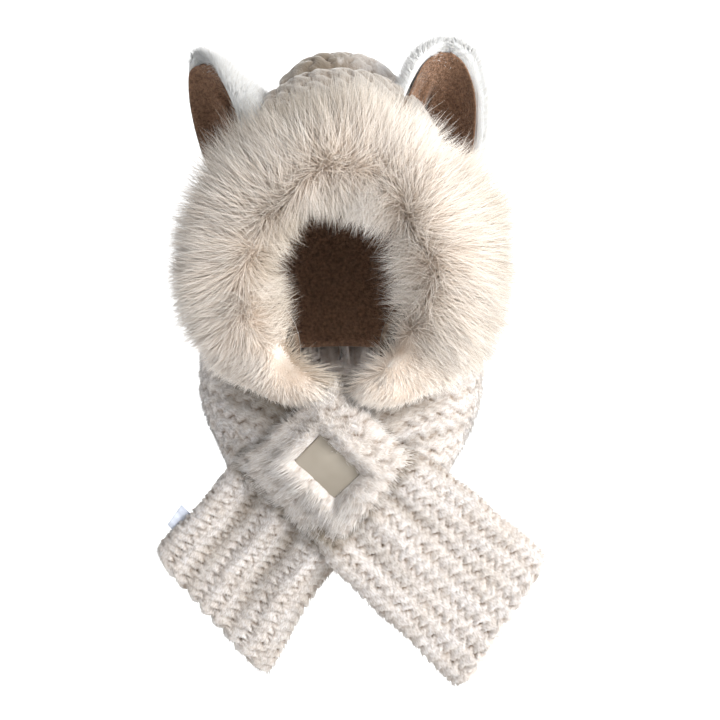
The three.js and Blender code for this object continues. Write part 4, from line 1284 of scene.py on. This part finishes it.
# %% The undercoat
def fur_ring():
    rings, sides = 210, 84
    share = np.linspace(-0.95, 0.95, rings)[:, None] + 0 * np.arange(sides)[None, :]
    angle = np.arange(sides)[None, :] / sides * 2 * math.pi + 0 * share
    bent = np.mod(angle + math.pi / 2, 2 * math.pi) - math.pi / 2
    base = trim_point(share, angle, UNDERCOAT)
    locks = 0.5 + 0.5 * wander(base * (1, 0.6, 1), 11, 61)
    broad = wander(base, 34, 62)
    before_ear = swell(share, *BEFORE_EAR)
    scale = UNDERCOAT + 0.07 * (locks - 0.5) + 0.05 * broad
    scale = scale - 0.14 * before_ear * ease(1.5 - bent, 0, 0.8)
    end = ease(0.95 - np.abs(share), 0, 0.035)
    points = trim_point(share, angle, scale * np.sqrt(0.03 + 0.97 * end))
    normal = unit(points - trim_point(share, angle, 0))
    outerward = unit(trim_point(share, angle - 0.05, scale) - trim_point(share, angle + 0.05, scale))
    parting = PARTING + math.radians(46) * ease(np.abs(share), 0.1, 0.4)
    parting = parting + math.radians(30) * wander(base, 48, 66)
    sweep = np.tanh((parting - bent) / math.radians(66)) * ease(bent, math.radians(-80), math.radians(5))
    clump = [wander(base, 24, seed) + 0.35 * wander(base, 9, seed + 5) for seed in (63, 64, 65)]
    low = ease(np.abs(share), 0.55, 0.85)
    stand = 0.42 - 0.24 * ease(np.abs(share), 0.72, 0.86) + 0.55 * before_ear
    comb = normal * stand[..., None] + outerward * sweep[..., None] + np.stack(clump, -1) * 0.26
    comb[..., 2] += 0.25 * swell(share, 0, 0.3) * ease(sweep, 0.0, 0.5)
    comb[..., 1] += 0.35 * low
    comb[..., 1] = np.maximum(comb[..., 1], -0.5)
    to_knot = np.stack([-np.sign(share), 0 * share, -0.45 + 0 * share], -1)
    to_knot = ease(np.abs(share), 0.8, 0.93)[..., None] * to_knot
    grown = ease(np.cos(bent - math.radians(60)), -0.85, -0.2)
    grown = grown * (1 + 0.8 * ease(np.abs(share), 0.78, 0.9))
    bow = normal * -0.25 + outerward * (sweep * 0.3)[..., None]
    bow = bow + np.array([0, 0, -0.35]) * (1 - low)[..., None]
    return share, make_piece(
        "fur_undercoat", points.reshape(-1, 3), tube_faces(rings, sides), undercoat,
        lock=np.clip(locks, 0, 1), grown=grown, reach=hair_reach(share, sweep, locks),
        comb=unit(unit(comb) + 2.2 * to_knot), bow=bow, hollow=hair_shade(share, bent),
    )


shares, fur = fur_ring()

# %% [markdown]
# ## Shade where pile meets pile, and the pile itself
#
# Deep pile hides its roots from the light wherever two pieces press together:
# beside the loop, and under the edge of the fur. The points there are marked
# first, and that shade is painted into the colour of both the cloth and the
# strands that grow on it.


# %% Pile of the hood, the scarf and the loop
def shade_beside(piece, other, reach):
    """Marks the points of a piece that lie close to another one, nearest the most, where shade is painted.
    """
    mesh, tree = piece.data, as_tree(other)
    hollow = mesh.attributes.get("hollow") or mesh.attributes.new("hollow", "FLOAT", "POINT")
    before = np.zeros(len(mesh.vertices))
    hollow.data.foreach_get("value", before)
    away = [tree.find_nearest(v.co, reach)[3] for v in mesh.vertices]
    near = np.array([0 if d is None else 1 - d / reach for d in away])
    hollow.data.foreach_set("value", np.maximum(before, near))


for piece in (under, over):
    shade_beside(piece, loop, 0.013)
for piece in (under, over, hood):
    shade_beside(piece, fur, 0.045)
hood_pile = grow("hood_pile", hood, 13500, plush_pile, 3, own_share=0.22, **short_pile)
under_pile = grow("scarf_under_pile", under, 15500, plush_pile, 5, own_share=0.22, **short_pile)
over_pile = grow("scarf_over_pile", over, 15500, plush_pile, 6, own_share=0.22, **short_pile)
tufted_pile = {**short_pile, "length": 0.0105, "clump": 0.006, "disorder": 0.2}
loop_pile = grow("keeper_loop_pile", loop, 7600, long_pile, 8, own_share=0.45, **tufted_pile)


# %% Hairs of the fur in five pieces
# in metres: where the pressing starts, and how much further a hair can reach
PRESSED_IN_FRONT = (0.146, 0.024)
PRESSED_ASIDE = (0.142, 0.036)


def pressed_flat(piece):
    """Presses the hairs that stand far forward or far aside back into the form of the trim."""
    place = np.zeros(len(piece.data.vertices) * 3)
    piece.data.vertices.foreach_get("co", place)
    place = place.reshape(-1, 3)
    start, give = PRESSED_IN_FRONT
    front = np.maximum(-place[:, 1] - start, 0)
    place[:, 1] = np.where(front > 0, -start - give * np.tanh(front / give), place[:, 1])
    start, give = PRESSED_ASIDE
    aside = np.maximum(np.abs(place[:, 0]) - start, 0)
    place[:, 0] -= np.sign(place[:, 0]) * (aside - give * np.tanh(aside / give))
    piece.data.vertices.foreach_set("co", place.ravel())
    piece.data.update()
    return piece


def fur_hair(name, low, high, count, seed, segments=2, length=0.040, disorder=0.36):
    """Hairs on the part of the ring between two shares of its half turn."""
    grown = fur.data.attributes["grown"].data
    all_grown = np.zeros(len(grown))
    grown.foreach_get("value", all_grown)
    inside = (shares.ravel() >= low) & (shares.ravel() < high)
    grown.foreach_set("value", np.where(inside, all_grown, 0))
    piece = grow(
        name, fur, count, fur_strand, seed, segments=segments, length=length, thickness=0.00032,
        disorder=disorder, bow=0.010, clump=0.011, clump_scale=85.0, own_share=0.6, lit_through=0.5,
    )
    fur.data.attributes["grown"].data.foreach_set("value", all_grown)
    return pressed_flat(piece)


fine = dict(segments=1, length=0.034, disorder=0.5)
hair = [
    fur_hair("fur_left", -1.0, -0.3, 7400, 71),
    fur_hair("fur_top", -0.3, 0.3, 7000, 72),
    fur_hair("fur_right", 0.3, 1.0, 7400, 73),
    fur_hair("fur_fine_left", -1.0, 0.0, 16500, 74, **fine),
    fur_hair("fur_fine_right", 0.0, 1.0, 16500, 75, **fine),
]

# %% [markdown]
# ## Which piece stands for which solid
#
# Every solid of the plain model is hidden and replaced, and each piece rides on
# the one body.

# %% Hang the pieces on the body and hide the solids
DRESSED = [
    (hood, "hood_shell", "plush"), (hood_pile, "hood_shell", "plush"),
    (lining, "hood_lining", "brown_velvet"),
    (under, "scarf_under_half", "plush"), (under_pile, "scarf_under_half", "plush"),
    (over, "scarf_over_half", "plush"), (over_pile, "scarf_over_half", "plush"),
    (loop, "keeper_loop", "plush"), (loop_pile, "keeper_loop", "plush"),
    (patch, "patch", "patch_face"), (label, "side_label", "label"), (fur, "fur_trim", "fur"),
]
DRESSED += [(strands_of_fur, "fur_trim", "fur") for strands_of_fur in hair]
for side, (shell, inside, pile, fuzz) in ear_pieces.items():
    DRESSED += [(piece, f"ear_{side}_shell", "ear_plush") for piece in (shell, pile)]
    DRESSED += [(piece, f"ear_{side}_lining", "brown_velvet") for piece in (inside, fuzz)]
for piece, solid, finish in DRESSED:
    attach(piece, "root")
    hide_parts(solid)


# %% How large the thin cloths are
def cloth_area(piece):
    """Area of one face of a thin closed piece, in square metres."""
    area = float(sum(face.area for face in piece.data.polygons) / 2)
    print(piece.name, round(area * 1e6), "square mm")
    return area


cloth_area(lining)
for shell, inside, _, _ in ear_pieces.values():
    cloth_area(inside)

# %% [markdown]
# ## Camera, light and ground
#
# The photograph looks at the face from about ten degrees above it, 1.6 m away,
# on a plain white ground. The light is soft and comes from the viewer's right,
# so the left side turns grey; the hollow of the crown is grey from this light and
# from shade painted on the plush. A fainter lamp above and behind keeps the
# ground white. One bent sheet serves as floor and backdrop, with no line between
# them.

# %% Camera
AIM = Vector((0.0192, -0.1, -0.267))
CAMERA_AWAY = 1.6
CAMERA_ABOVE = math.radians(10)
camera = bpy.data.objects.new("camera", bpy.data.cameras.new("camera"))
bpy.context.scene.collection.objects.link(camera)
camera.location = AIM + CAMERA_AWAY * Vector((0, -math.cos(CAMERA_ABOVE), math.sin(CAMERA_ABOVE)))
camera.rotation_euler = (math.pi / 2 - CAMERA_ABOVE, 0, 0)
camera.data.lens = 83.33
camera.data.sensor_width = 36
camera.data.clip_start = 0.05
bpy.context.scene.camera = camera


# %% Floor and backdrop
FLOOR = -0.66
BEND_START = 1.2
BEND = 0.8


def studio_ground():
    material, _, shader = finish_of("studio_white", 0.9)
    shader.inputs["Base Color"].default_value = (0.95, 0.95, 0.95, 1)
    line = [(-4.0, FLOOR), (BEND_START, FLOOR)]
    for angle in np.linspace(0.1, math.pi / 2, 14):
        line.append((BEND_START + BEND * math.sin(angle), FLOOR + BEND * (1 - math.cos(angle))))
    line.append((BEND_START + BEND, 3.0))
    points = [(x, y, z) for y, z in line for x in (-5.0, 5.0)]
    faces = [(2 * i, 2 * i + 1, 2 * i + 3, 2 * i + 2) for i in range(len(line) - 1)]
    mesh = bpy.data.meshes.new("studio_ground")
    mesh.from_pydata(points, [], faces)
    mesh.shade_smooth()
    mesh.materials.append(material)
    ground = bpy.data.objects.new("studio_ground", mesh)
    bpy.context.scene.collection.objects.link(ground)
    return ground


ground = studio_ground()


# %% Lights
def soft_light(name, place, aim, size, power, tint=(1, 1, 1)):
    lamp = bpy.data.lights.new(name, "AREA")
    lamp.shape = "DISK"
    lamp.size = size
    lamp.energy = power
    lamp.color = tint
    made = bpy.data.objects.new(name, lamp)
    made.location = place
    made.rotation_euler = (Vector(aim) - Vector(place)).to_track_quat("-Z", "Y").to_euler()
    bpy.context.scene.collection.objects.link(made)


soft_light("window", (1.9, -1.5, 0.6), (0, 0, -0.25), 1.2, 82, (1.0, 0.99, 0.97))
soft_light("ground_light", (0, 1.7, 1.7), (0, 1.0, FLOOR), 1.6, 48)
world = bpy.data.worlds.new("studio_air")
bpy.context.scene.world = world
world.use_nodes = True
world.node_tree.nodes["Background"].inputs["Color"].default_value = (0.97, 0.985, 1.0, 1)
world.node_tree.nodes["Background"].inputs["Strength"].default_value = 0.62
bpy.context.scene.view_settings.view_transform = "Standard"
